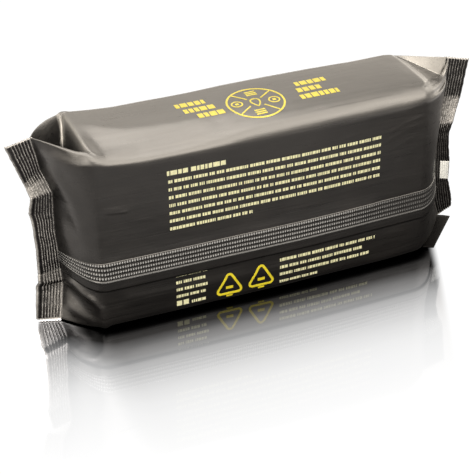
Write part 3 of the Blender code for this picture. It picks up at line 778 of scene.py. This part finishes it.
def fin_mesh():
    z_levels = [FIN_EDGE, FIN_PLAIN, (FIN_PLAIN + FIN_ROOT) / 2, FIN_ROOT]
    lines = [fin_line(r, z) for r, z in zip((4, 5, 6, 7), z_levels)]
    total = None
    resampled = []
    for line in lines:
        run = np.concatenate([[0], np.cumsum(np.linalg.norm(np.diff(line, axis=0), axis=1))])
        total = run[-1] if total is None else total
        n = 1100
        t = np.linspace(0, 1, n)
        resampled.append(np.stack([np.interp(t * run[-1], run, line[:, k]) for k in range(3)], axis=1))
    resampled = np.array(resampled)  # level, n, xyz
    n = resampled.shape[1]
    margin = np.linspace(0, 1, 6)[:-1] * (FIN_PLAIN - FIN_EDGE)
    ribbed = np.linspace(0, 1, 41) * (FIN_ROOT - FIN_PLAIN)
    heights = np.concatenate([FIN_EDGE + margin, FIN_PLAIN + ribbed])
    levels = np.interp(heights, z_levels, range(4))
    lower = np.minimum(levels.astype(int), 2)
    part = levels - lower
    grid = resampled[lower] * (1 - part)[:, None, None] + resampled[lower + 1] * part[:, None, None]
    length = total
    u = np.linspace(0, length, n)
    # onto the panel
    base = np.zeros_like(grid)
    out = np.zeros_like(grid)
    for i in range(grid.shape[0]):
        for j in range(n):
            x, z = grid[i, j, 0] + SHIFT[0], grid[i, j, 2] + SHIFT[2]
            hit = cast(film_tree, x, z)
            base[i, j] = hit[0] if hit else grid[i, j] + SHIFT
            out[i, j] = hit[1] if hit else (0, -1, 0)
    for _ in range(30):
        out[:, 1:-1] = (out[:, :-2] + 2 * out[:, 1:-1] + out[:, 2:]) / 4
        out[1:-1] = (out[:-2] + 2 * out[1:-1] + out[2:]) / 4
    out /= np.linalg.norm(out, axis=2, keepdims=True)
    ends = smooth(np.minimum(u, length - u) / 9.0)
    h = heights - FIN_PLAIN
    pitch = (FIN_ROOT - FIN_PLAIN) / 4.6
    # rows of ribs along the fin, the lowest one an unbroken line, each cut crosswise into small teeth
    rib = np.where(h > pitch * 0.6, 0.5 - 0.5 * np.cos(2 * np.pi * (h - 0.6 * pitch) / pitch), 0.0)
    line = np.exp(-(((h - 0.3 * pitch) / 0.34) ** 2))
    steps = np.stack([u * 0.05, u * 0, u * 0], axis=1)
    drift = noise3(steps, 1.0, 6.0)
    tooth = 0.5 + 0.5 * np.cos(2 * np.pi * u / 1.22 + 2.5 * drift)
    # the rows are pressed a little out of step with each other
    lag = np.floor(np.maximum(h - 0.6 * pitch, 0) / pitch) * 0.9
    tooth = 0.5 + 0.5 * np.cos(2 * np.pi * u[None, :] / 1.22 + 2.5 * drift[None, :] + lag[:, None])
    soft = 0.55 + 0.45 * smooth((150 - grid[len(heights) // 2, :, 0] - 70) / 60.0)
    relief = rib[:, None] * (0.08 + 0.28 * tooth) * soft[None, :] + line[:, None] * 0.22
    # painted highlight on the tops of the teeth and along the lowest line
    painted_highlight = smooth((rib[:, None] * (0.25 + 0.75 * tooth) - 0.30) / 0.55) * (0.25 + 0.75 * (soft[None, :] - 0.55) / 0.45)
    painted_highlight = np.maximum(painted_highlight, line[:, None] * 0.5 * soft[None, :])
    slack = 0.22 * smooth((FIN_PLAIN - heights) / 4.5)[:, None] * (0.6 + 0.4 * np.sin(u / 17.0))[None, :]
    rise = np.clip((FIN_ROOT - heights) / (FIN_ROOT - FIN_PLAIN), 0, 1)[:, None]
    lift = (0.02 + 0.45 * rise) * (0.3 + 0.7 * ends[None, :]) + slack * ends[None, :]
    sheet = 0.08 + 0.22 * rise
    front = base + out * (lift + sheet + relief * (0.45 + 0.55 * ends[None, :]))[..., None]
    keep = [0, 2, 5, 12, 20, 30, 40, len(heights) - 1]
    back = base[keep] + out[keep] * (lift[keep] - 0.05)[..., None]
    back[-1] = base[-1] - out[-1] * 0.3
    m = grid.shape[0]
    points = np.concatenate([front.reshape(-1, 3), back.reshape(-1, 3)])
    f = lambda i, j: i * n + j
    b = lambda i, j: m * n + i * n + j
    faces = []
    for i in range(m - 1):
        for j in range(n - 1):
            faces.append([f(i, j), f(i, j + 1), f(i + 1, j + 1), f(i + 1, j)])
    nb = len(keep)
    for i in range(nb - 1):
        for j in range(n - 1):
            faces.append([b(i, j), b(i + 1, j), b(i + 1, j + 1), b(i, j + 1)])
    for j in range(n - 1):
        faces.append([f(0, j + 1), f(0, j), b(0, j), b(0, j + 1)])
        faces.append([f(m - 1, j), f(m - 1, j + 1), b(nb - 1, j + 1), b(nb - 1, j)])
    faces.append([f(i, 0) for i in range(m)] + [b(i, 0) for i in range(nb - 1, -1, -1)])
    faces.append([f(i, n - 1) for i in range(m - 1, -1, -1)] + [b(i, n - 1) for i in range(nb)])
    return points, faces, np.concatenate([painted_highlight.reshape(-1), np.zeros(nb * n)])


fin_points, fin_faces, fin_painted_highlight = fin_mesh()
fin_faces = face_out(fin_points, fin_faces)
fin = add_object("fin_seal", fin_points, fin_faces, FIN_FILM)
set_painted_highlight(fin, fin_painted_highlight)
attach(fin, "root")


# ---------------------------------------------------------------- the folded corner and the label
def rounded_sheet(name, points, faces, material, thickness, offset, edge):
    made = add_object(name, points, faces, material)
    thick = made.modifiers.new("sheet", "SOLIDIFY")
    thick.thickness = thickness * MM
    thick.offset = offset
    thick.use_even_offset = True
    round_ = made.modifiers.new("edge", "BEVEL")
    round_.width = edge * MM
    round_.segments = 2
    round_.limit_method = "ANGLE"
    return made


def corner_mesh():
    """The folded corner's upper face as a fan of fine strips, slightly bowed."""
    p = np.array(DOG_EAR) + SHIFT
    a, b, c, d, e = p
    n, m = 14, 8
    inner = [a + (e - a) * t / 0.5 if t < 0.5 else e + (d - e) * (t - 0.5) / 0.5 for t in np.linspace(0, 1, n)]
    outer = [b + (c - b) * t for t in np.linspace(0, 1, n)]
    points = []
    for i in range(n):
        for j in range(m):
            w = j / (m - 1)
            q = inner[i] * (1 - w) + outer[i] * w
            q = q + np.array([0, 0, 0.25 * math.sin(math.pi * w) * (1 - i / (n - 1))])
            points.append(q)
    faces = []
    for i in range(n - 1):
        for j in range(m - 1):
            k = i * m + j
            faces.append([k, k + 1, k + m + 1, k + m])
    normal = np.cross(np.array(points[1]) - points[0], np.array(points[m]) - points[0])
    if normal[2] < 0:
        faces = [f[::-1] for f in faces]
    return np.array(points), faces


points, faces = corner_mesh()
ear = rounded_sheet("folded_corner", points, faces, CORNER_SHADE_FILM, DOG_EAR_SHEET * 0.9, -1.0, 0.2)
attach(ear, "root")


def label_mesh():
    half, high = LABEL_LENGTH / 2, LABEL_HEIGHT / 2
    arc = [-half + LABEL_CORNER * (1 - math.cos(math.radians(a))) for a in range(0, 91, 6)]
    xs = arc + list(np.linspace(-half + LABEL_CORNER, half - LABEL_CORNER, 30)[1:-1]) + [-x for x in arc[::-1]]
    rows = 24
    points, faces = [], []
    for x in xs:
        into = max(0.0, LABEL_CORNER - (half - abs(x)))
        drop = LABEL_CORNER - math.sqrt(max(0.0, LABEL_CORNER**2 - into**2))
        reach = high - drop
        for t in np.linspace(-1, 1, rows):
            points.append((x, float(back_depth(x)) + LABEL_GAP, LABEL_MIDDLE + reach * t))
    for i in range(len(xs) - 1):
        for j in range(rows - 1):
            k = i * rows + j
            faces.append([k, k + 1, k + rows + 1, k + rows])
    return np.array(points) + SHIFT, faces


points, faces = label_mesh()
label = rounded_sheet("reseal_sheet", points, faces, LABEL_FILM, LABEL_SHEET * 0.9, 1.0, 0.12)
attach(label, "root")
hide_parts("reseal_label")

# ---------------------------------------------------------------- print
PRINT_LIFT = 0.07


def stamp(shapes, tree, plane, extra=0.0):
    """Flat shapes laid on a surface as thin slabs. Each shape is (points (u, v), faces)."""
    points, faces = [], []
    for uv, fs in shapes:
        first = len(points)
        upper, lower = [], []
        for u, v in uv:
            if plane == "front":
                hit = tree.ray_cast(Vector((u, -80, v)), Vector((0, 1, 0)))
            elif plane == "back":
                hit = tree.ray_cast(Vector((u, 80, v)), Vector((0, -1, 0)))
            else:
                hit = tree.ray_cast(Vector((u, v, 140)), Vector((0, 0, -1)))
            if hit[0] is None:
                break
            upper.append(hit[0] + hit[1] * (PRINT_LIFT + extra))
            lower.append(hit[0] - hit[1] * 0.12)
        else:
            n = len(uv)
            points += upper + lower
            edges = {}
            for f in fs:
                faces.append([first + k for k in f])
                faces.append([first + n + k for k in f[::-1]])
                for i in range(len(f)):
                    edges[(f[i - 1], f[i])] = 1
            for (a, b) in edges:
                if (b, a) not in edges:
                    faces.append([first + b, first + a, first + n + a, first + n + b])
    return np.array(points), faces


def block(u0, v0, u1, v1, turn=0.0, about=(0.0, 0.0), step=1.4):
    """A small rectangle, divided so that it can bend."""
    nu, nv = max(1, math.ceil(abs(u1 - u0) / step)), max(1, math.ceil(abs(v1 - v0) / step))
    pts = [(u0 + (u1 - u0) * i / nu, v0 + (v1 - v0) * j / nv) for i in range(nu + 1) for j in range(nv + 1)]
    if turn:
        c, s = math.cos(turn), math.sin(turn)
        pts = [(about[0] + c * (u - about[0]) - s * (v - about[1]), about[1] + s * (u - about[0]) + c * (v - about[1])) for u, v in pts]
    fs = [[i * (nv + 1) + j, (i + 1) * (nv + 1) + j, (i + 1) * (nv + 1) + j + 1, i * (nv + 1) + j + 1] for i in range(nu) for j in range(nv)]
    return pts, fs


def stroke(path, width, closed=False, step=1.5):
    """A line of even width along a path."""
    p = np.array(path, float)
    dense = []
    last = len(p) if closed else len(p) - 1
    for k in range(last):
        a, b = p[k], p[(k + 1) % len(p)]
        n = max(1, math.ceil(np.linalg.norm(b - a) / step))
        dense += [a + (b - a) * i / n for i in range(n)]
    if not closed:
        dense.append(p[-1])
    d = np.array(dense)
    if closed:
        t = np.roll(d, -1, 0) - np.roll(d, 1, 0)
    else:
        t = np.gradient(d, axis=0)
    t /= np.linalg.norm(t, axis=1, keepdims=True)
    side = np.stack([-t[:, 1], t[:, 0]], axis=1) * width / 2
    pts = [tuple(q) for q in np.concatenate([d - side, d + side])]
    n = len(d)
    fs = []
    for k in range(n if closed else n - 1):
        j = (k + 1) % n
        fs.append([k, j, n + j, n + k])
    return pts, fs


rng = np.random.default_rng(11)


def filler_line(u0, u1, v, height, words, heavy=False):
    """A line of filler: runs of small plain slabs, all of one height and of uneven width. No letters."""
    slabs = []
    u = u0
    gap = height * (0.22 if not heavy else 0.26)
    while u < u1 - 1.0:
        for _ in range(int(rng.choice(words))):
            w = height * float(rng.choice((0.4, 0.6, 0.85, 1.1))) * (1.5 if heavy else 1.0)
            if u + w > u1:
                break
            slabs.append((u, v, u + w, v + height * 1.2))
            u += w + gap
        u += height * 0.5
    if not slabs:
        return []
    stretch = (u1 - u0) / (slabs[-1][2] - u0)
    return [block(u0 + (a - u0) * stretch, b, u0 + (c - u0) * stretch, d, step=2.4) for a, b, c, d in slabs]


X0, Z0 = SHIFT[0], SHIFT[2]
text = []
text += filler_line(-50 + X0, -22 + X0, 74.4, 1.9, (4, 7), heavy=True)
for n in range(7):
    v = 70.4 - 4.05 * n
    text += filler_line(-49.5 + X0, (57 if n < 6 else -9) + X0, v, 1.3, (2, 3, 4, 5, 6, 8))
for n, (v, u1) in enumerate(((20.2, -32), (16.4, -33), (12.6, -32), (8.8, -33))):
    text += filler_line(-47.5 + X0, u1 + X0, v, 1.25, (4, 5, 3))
text += filler_line(-47.5 + X0, -41.5 + X0, 4.3, 2.2, (2,), heavy=True)
text += filler_line(-40 + X0, -33 + X0, 4.3, 1.25, (5,))
for n, (v, u1) in enumerate(((16.0, 56), (12.0, 49), (8.0, 53))):
    text += filler_line(5 + X0, u1 + X0, v, 1.3, (3, 5, 6, 8))
text += filler_line(5 + X0, 25 + X0, 4.0, 1.1, (4, 5))
points, faces = stamp(text, film_tree, "front")
small_print = add_object("filler_print", points, faces, CREAM, smooth_faces=False)
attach(small_print, "root")


def rounded_triangle(cx, cz, size, radius, lean=0.0):
    pts = []
    for k in range(3):
        a = math.radians(90 + 120 * k) + lean
        c = np.array([cx + (size - radius) * math.cos(a), cz + (size - radius) * math.sin(a)])
        for j in range(7):
            b = a + math.radians(-60 + 20 * j)
            pts.append((c[0] + radius * math.cos(b), c[1] + radius * math.sin(b)))
    return pts


marks = []
for cx, cz in ((-20.9, 9.6), (-4.7, 10.2)):
    marks.append(stroke(rounded_triangle(cx + X0, cz - 0.7, 6.6, 1.5), 1.2, closed=True, step=1.0))
    marks.append(block(cx - 1.8 + X0, cz - 2.2, cx + 1.8 + X0, cz - 0.7))
    marks.append(block(cx - 1.6 + X0, cz - 6.6, cx + 1.6 + X0, cz - 5.7))
points, faces = stamp(marks, film_tree, "front")
loops = add_object("loop_marks", points, faces, YELLOW, smooth_faces=False)
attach(loops, "root")

# the round mark and its side bars on the upper narrow side
badge = []
ring_centre = (1.6 + X0, -3.4)
RING = 13.4
circle = [(ring_centre[0] + RING * math.cos(a), ring_centre[1] + RING * math.sin(a)) for a in np.linspace(0, 2 * math.pi, 72, endpoint=False)]
badge.append(stroke(circle, 0.95, closed=True, step=1.3))
# four spokes, a plain drop in the middle and one plain shape in each field
for k in range(4):
    a = math.radians(38 + 90 * k)
    c, s = math.cos(a), math.sin(a)
    badge.append(stroke([(ring_centre[0] + 4.6 * c, ring_centre[1] + 4.6 * s), (ring_centre[0] + (RING - 0.4) * c, ring_centre[1] + (RING - 0.4) * s)], 0.75))
drop = [(ring_centre[0] + 2.9 * math.sin(t) * math.sin(t / 2) ** 1.1, ring_centre[1] - 0.5 - 3.6 * math.cos(t)) for t in np.linspace(0.02, 2 * math.pi - 0.02, 36)]
badge.append(stroke(drop, 0.75, closed=True, step=0.9))
for k, kind in enumerate(("round", "bars", "round", "bars")):
    a = math.radians(-7 + 90 * k)
    cx, cy = ring_centre[0] + 8.9 * math.cos(a), ring_centre[1] + 8.9 * math.sin(a)
    if kind == "round":
        badge.append(stroke([(cx + 2.5 * math.cos(b), cy + 2.5 * math.sin(b)) for b in np.linspace(0, 2 * math.pi, 20, endpoint=False)], 0.75, closed=True))
        badge.append(block(cx - 0.8, cy - 0.8, cx + 0.8, cy + 0.8))
    else:
        for j in (-1, 0, 1):
            badge.append(block(cx - 2.6, cy + 1.6 * j - 0.45, cx + 2.6, cy + 1.6 * j + 0.45))


def bold_bar(u0, u1, v, height, lean):
    """A heavy line of filler made of wide plain blocks."""
    out = []
    u = u0
    while u < u1 - 0.8:
        w = min(float(rng.choice((2.0, 2.6, 3.2))), u1 - u)
        out.append(block(u, v, u + w, v + height, turn=lean, about=(u0, v)))
        u += w + 0.6
    return out


for v, u0, u1 in ((5.4, -34.0, -19.6), (-1.0, -32.0, -16.6), (-7.4, -27.6, -13.4)):
    badge += bold_bar(u0 + X0, u1 + X0, v, 3.9, 0.0)
for v, u0, u1 in ((3.6, 25.4, 41.4), (-2.8, 23.6, 35.6), (-9.2, 22.6, 42.0)):
    badge += bold_bar(u0 + X0, u1 + X0, v, 3.9, 0.0)
points, faces = stamp(badge, film_tree, "top")
badge_print = add_object("badge_print", points, faces, YELLOW, smooth_faces=False)
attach(badge_print, "root")

# the eye mark printed on the right seal
def seal_patch(end, r0, r1, c0, c1, lift):
    """A printed patch that follows the seal between two rows and two shares of its width."""
    rows, cols = np.linspace(r0, r1, 26), np.linspace(c0, c1, 26)
    inner, outer = seal_at(end, rows, 0), seal_at(end, rows, 1)
    grid = inner[:, None] * (1 - cols[None, :, None]) + outer[:, None] * cols[None, :, None] + SHIFT
    tree = seals[end][1]
    points = []
    for layer in (lift, -0.1):
        for row in grid:
            for q in row:
                hit = tree.ray_cast(Vector((q[0], q[1] - 6.0, q[2])), Vector((0, 1, 0)))
                y = hit[0].y if hit[0] is not None else q[1]
                points.append((q[0], y - layer, q[2]))
    n = 26
    faces = []
    for i in range(n - 1):
        for j in range(n - 1):
            a = i * n + j
            faces.append([a, a + 1, a + n + 1, a + n])
            faces.append([n * n + a, n * n + a + n, n * n + a + n + 1, n * n + a + 1])
    rim = [j for j in range(n)] + [i * n + n - 1 for i in range(1, n)] + [(n - 1) * n + j for j in range(n - 2, -1, -1)] + [i * n for i in range(n - 2, 0, -1)]
    for a, b in zip(rim, rim[1:] + rim[:1]):
        faces.append([b, a, n * n + a, n * n + b])
    return np.array(points), faces


points, faces = seal_patch(1, 5.15, 8.0, 0.40, 0.94, 0.06)
mark = add_object("eye_mark", points, face_out(points, faces), PALE)
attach(mark, "root")

# ---------------------------------------------------------------- the stage
scene = bpy.context.scene
scene.view_settings.view_transform = "Standard"
scene.view_settings.look = "None"

camera_data = bpy.data.cameras.new("camera")
camera = bpy.data.objects.new("camera", camera_data)
scene.collection.objects.link(camera)
PITCH, YAW, ROLL = 31.5566, 22.3922, 0.51
cp, sp = math.cos(math.radians(PITCH)), math.sin(math.radians(PITCH))
cy, sy = math.cos(math.radians(YAW)), math.sin(math.radians(YAW))
right = Vector((cy, -sy, 0))
forward = Vector((sy * cp, cy * cp, -sp))
down = forward.cross(right)
cr, sr = math.cos(math.radians(ROLL)), math.sin(math.radians(ROLL))
axis_x = right * cr + down * sr
axis_down = down * cr - right * sr
camera.matrix_world = Matrix((
    (axis_x.x, -axis_down.x, -forward.x, (-238.0 + SHIFT[0]) * MM),
    (axis_x.y, -axis_down.y, -forward.y, (-561.5 + SHIFT[1]) * MM),
    (axis_x.z, -axis_down.z, -forward.z, 391.4 * MM),
    (0, 0, 0, 1)))
camera_data.lens = 111.55
camera_data.sensor_width = 36.0
camera_data.clip_start = 0.01
camera_data.clip_end = 20.0
scene.camera = camera


def math_node(tree, kind, first, second=None):
    """A math node on two values, each a socket or a number."""
    node = tree.nodes.new("ShaderNodeMath")
    node.operation = kind
    for slot, value in enumerate((first, second)):
        if value is None:
            continue
        if isinstance(value, (int, float)):
            node.inputs[slot].default_value = value
        else:
            tree.links.new(value, node.inputs[slot])
    return node.outputs["Value"]


def ramp_node(tree, value, low, high, start, stop, soft=True):
    """A value carried from one range to another, clamped, eased unless soft is off."""
    node = tree.nodes.new("ShaderNodeMapRange")
    node.interpolation_type = "SMOOTHSTEP" if soft else "LINEAR"
    tree.links.new(value, node.inputs["Value"])
    node.inputs["From Min"].default_value = low
    node.inputs["From Max"].default_value = high
    node.inputs["To Min"].default_value = start
    node.inputs["To Max"].default_value = stop
    return node.outputs["Result"]


def floor_material():
    """White to the eye, polished close to the pack, and lit unevenly as the film sees it."""
    made = bpy.data.materials.new("floor")
    made.use_nodes = True
    tree = made.node_tree
    nodes, links = tree.nodes, tree.links
    nodes.clear()
    out = nodes.new("ShaderNodeOutputMaterial")
    geometry = nodes.new("ShaderNodeNewGeometry")
    split = nodes.new("ShaderNodeSeparateXYZ")
    links.new(geometry.outputs["Position"], split.inputs["Vector"])
    x, y = split.outputs["X"], split.outputs["Y"]
    off_x = math_node(tree, "ABSOLUTE", x)
    # as the film sees it: dim close by, brighter away to the left and behind
    dx = math_node(tree, "MAXIMUM", math_node(tree, "SUBTRACT", off_x, 0.105), 0.0)
    dy = math_node(tree, "MAXIMUM", math_node(tree, "SUBTRACT", math_node(tree, "ABSOLUTE", y), 0.02), 0.0)
    away = math_node(tree, "SQRT", math_node(tree, "ADD", math_node(tree, "MULTIPLY", dx, dx), math_node(tree, "MULTIPLY", dy, dy)))
    far = ramp_node(tree, away, 0.0, 0.17, 0.03, 1.0)
    front_level = math_node(tree, "MULTIPLY", ramp_node(tree, x, 0.105, 0.17, FLOOR_FRONT, FLOOR_FRONT * 0.28), ramp_node(tree, x, -0.22, -0.09, 0.2, 1.0))
    left_level = math_node(tree, "MULTIPLY", ramp_node(tree, x, -0.105, -0.15, 0.0, FLOOR_LEFT), ramp_node(tree, y, -0.15, -0.07, 0.35, 1.0))
    right_level = ramp_node(tree, x, 0.26, 0.36, 0.0, 2.0)
    back_level = math_node(tree, "MULTIPLY", ramp_node(tree, y, -0.01, 0.08, 0.0, FLOOR_BACK), ramp_node(tree, x, 0.02, 0.13, 1.0, 0.05))
    corner_level = math_node(tree, "MULTIPLY", ramp_node(tree, x, 0.10, 0.30, 0.0, FLOOR_CORNER), ramp_node(tree, y, 0.15, 0.40, 0.0, 1.0))
    level = math_node(tree, "ADD", front_level, math_node(tree, "ADD", back_level, right_level))
    level = math_node(tree, "MULTIPLY", level, far)
    level = math_node(tree, "ADD", level, math_node(tree, "ADD", left_level, corner_level))
    dull = nodes.new("ShaderNodeEmission")
    dull.inputs["Color"].default_value = (1.0, 0.93, 0.86, 1)
    links.new(level, dull.inputs["Strength"])
    bright = nodes.new("ShaderNodeEmission")
    bright.inputs["Strength"].default_value = 1.05
    path = nodes.new("ShaderNodeLightPath")
    seen = nodes.new("ShaderNodeMixShader")
    links.new(path.outputs["Is Camera Ray"], seen.inputs["Fac"])
    links.new(dull.outputs["Emission"], seen.inputs[1])
    links.new(bright.outputs["Emission"], seen.inputs[2])
    gloss = nodes.new("ShaderNodeBsdfGlossy")
    gloss.inputs["Roughness"].default_value = 0.05
    # the polish fades with the distance from the pack's foot, and its reflection is dimmest at the foot: a painted
    # contact shadow, lifted past the left end
    foot = ramp_node(tree, off_x, 0.080, 0.108, -0.0215, -0.004)
    distance = math_node(tree, "SUBTRACT", foot, y)
    share = ramp_node(tree, distance, 0.0, 0.13, 0.0, 1.0, soft=False)

    def curve_node(stops):
        curve = nodes.new("ShaderNodeValToRGB")
        while len(curve.color_ramp.elements) < len(stops):
            curve.color_ramp.elements.new(0.5)
        for element, (place, level_here) in zip(curve.color_ramp.elements, stops):
            element.position = place
            element.color = (level_here, level_here, level_here, 1)
        links.new(share, curve.inputs["Fac"])
        return curve.outputs["Color"]

    polish = curve_node(((0.0, 1.0), (0.10, 1.0), (0.20, 0.80), (0.26, 0.60), (0.34, 0.43), (0.42, 0.28), (0.48, 0.20), (0.55, 0.15), (0.67, 0.10), (0.85, 0.03), (1.0, 0.0)))
    # painted contact shadow: the reflection's tint, dark at the foot
    painted_contact_shade = curve_node(((0.0, 0.0), (0.03, 0.02), (0.055, 0.05), (0.11, 0.11), (0.16, 0.16), (0.25, 0.18), (0.40, 0.24), (1.0, 0.30)))
    left_end = ramp_node(tree, x, -0.090, -0.101, 0.0, 0.9)
    tint = math_node(tree, "MINIMUM", math_node(tree, "ADD", painted_contact_shade, left_end), 1.0)
    shade = nodes.new("ShaderNodeCombineColor")
    links.new(math_node(tree, "MULTIPLY", tint, 0.96), shade.inputs["Red"])
    links.new(tint, shade.inputs["Green"])
    links.new(math_node(tree, "MULTIPLY", tint, 1.10), shade.inputs["Blue"])
    links.new(shade.outputs["Color"], gloss.inputs["Color"])
    # only where the pack stands over the mirrored line of sight, and not behind it
    over = math_node(tree, "SUBTRACT", x, math_node(tree, "MULTIPLY", y, 0.412))
    within = math_node(tree, "MULTIPLY", ramp_node(tree, over, -0.1085, -0.1065, 0.0, 1.0), ramp_node(tree, over, 0.096, 0.102, 1.0, 0.0))
    ahead = math_node(tree, "MAXIMUM", ramp_node(tree, distance, -0.004, -0.001, 0.0, 1.0), math_node(tree, "MULTIPLY", ramp_node(tree, x, 0.098, 0.094, 0.0, 1.0), ramp_node(tree, distance, -0.032, -0.026, 0.0, 1.0)))
    within = math_node(tree, "MULTIPLY", within, ahead)
    polish = math_node(tree, "MULTIPLY", polish, within)
    mix = nodes.new("ShaderNodeMixShader")
    links.new(math_node(tree, "MULTIPLY", polish, path.outputs["Is Camera Ray"]), mix.inputs["Fac"])
    links.new(seen.outputs["Shader"], mix.inputs[1])
    links.new(gloss.outputs["BSDF"], mix.inputs[2])
    links.new(mix.outputs["Shader"], out.inputs["Surface"])
    made.cycles.emission_sampling = "NONE"
    return made


FLOOR_FRONT, FLOOR_LEFT, FLOOR_BACK, FLOOR_CORNER = 1.0, 0.75, 2.4, 1.5
bpy.ops.mesh.primitive_plane_add(size=8.0, location=(0, 0, -0.0002))
floor = bpy.context.object
floor.name = "floor"
floor.data.materials.append(floor_material())
floor.visible_diffuse = False


def soft_light(name, place, target, size, radiance, colour=(1, 1, 1)):
    data = bpy.data.lights.new(name, "AREA")
    data.shape = "RECTANGLE"
    data.size, data.size_y = size
    data.energy = radiance * math.pi * size[0] * size[1]
    data.color = colour
    made = bpy.data.objects.new(name, data)
    made.location = place
    made.rotation_mode = "QUATERNION"
    made.rotation_quaternion = (Vector(target) - Vector(place)).to_track_quat("-Z", "Y")
    scene.collection.objects.link(made)
    return made


fill = soft_light("fill", (-0.15, -0.75, 0.75), (0.0, 0.0, 0.05), (0.9, 0.6), 9.5, (1.0, 0.97, 0.92))
fill.visible_glossy = False
# a small soft box over the left half of the pack
top_box = soft_light("top_box", (-0.08, 0.26, 0.64), (-0.08, 0.26, 0.0), (0.62, 0.80), 6.8, (1.0, 0.92, 0.82))
top_box.visible_diffuse = False

world = bpy.data.worlds.new("studio")
scene.world = world
world.use_nodes = True
world.cycles_visibility.diffuse = False
tree = world.node_tree
nodes, links = tree.nodes, tree.links
nodes.clear()
out = nodes.new("ShaderNodeOutputWorld")
white = nodes.new("ShaderNodeBackground")
white.inputs["Color"].default_value = (1, 1, 1, 1)
white.inputs["Strength"].default_value = 1.05
room = nodes.new("ShaderNodeBackground")
path = nodes.new("ShaderNodeLightPath")
mix = nodes.new("ShaderNodeMixShader")
coord = nodes.new("ShaderNodeTexCoord")
split = nodes.new("ShaderNodeSeparateXYZ")
links.new(coord.outputs["Generated"], split.inputs["Vector"])
wx, wy, wz = split.outputs["X"], split.outputs["Y"], split.outputs["Z"]
# a broad soft card in front and overhead, a dimmer one behind
toward = math_node(tree, "ADD", math_node(tree, "MULTIPLY", wx, 0.342), math_node(tree, "MULTIPLY", wy, -0.94))
frontal = math_node(tree, "MULTIPLY", ramp_node(tree, toward, -0.25, 0.70, 0.0, 1.0), ramp_node(tree, wz, 0.30, 0.60, 0.0, 1.0))
leftmost = ramp_node(tree, wx, -0.50, -0.72, 0.0, 1.0)
low_left = math_node(tree, "MULTIPLY", leftmost, math_node(tree, "MULTIPLY", ramp_node(tree, toward, 0.05, 0.15, 0.0, 1.0), ramp_node(tree, wz, -0.03, 0.09, 0.0, 1.0)))
card = math_node(tree, "MAXIMUM", frontal, low_left)
# the sides: darker to the left, brighter low down behind at either end
dim = math_node(tree, "MULTIPLY", ramp_node(tree, wz, -0.10, 0.30, 0.7, 2.2),
                math_node(tree, "SUBTRACT", 1.0, math_node(tree, "MULTIPLY", leftmost, ramp_node(tree, toward, -0.30, -0.10, 0.0, 0.6))))
dim = math_node(tree, "ADD", dim, ramp_node(tree, wz, 0.60, 0.95, 0.0, 0.8))
right_back = math_node(tree, "MULTIPLY", ramp_node(tree, wx, 0.55, 0.68, 0.0, 4.5), math_node(tree, "MULTIPLY", ramp_node(tree, toward, 0.30, -0.10, 0.0, 1.0), ramp_node(tree, wz, 0.60, 0.30, 0.0, 1.0)))
left_back = math_node(tree, "MULTIPLY", ramp_node(tree, wx, -0.70, -0.92, 0.0, 3.0), math_node(tree, "MULTIPLY", ramp_node(tree, toward, -0.20, -0.40, 0.0, 1.0), ramp_node(tree, wz, 0.30, 0.08, 0.0, 1.0)))
left_over = math_node(tree, "SUBTRACT", 1.0, card)
total = math_node(tree, "ADD", math_node(tree, "MULTIPLY", card, 11.5), math_node(tree, "MULTIPLY", left_over, dim))
total = math_node(tree, "ADD", total, math_node(tree, "ADD", right_back, left_back))
room.inputs["Color"].default_value = (1.0, 0.91, 0.79, 1)
links.new(total, room.inputs["Strength"])
links.new(path.outputs["Is Camera Ray"], mix.inputs["Fac"])
links.new(room.outputs["Background"], mix.inputs[1])
links.new(white.outputs["Background"], mix.inputs[2])
links.new(mix.outputs["Shader"], out.inputs["Surface"])

bpy.context.view_layer.update()
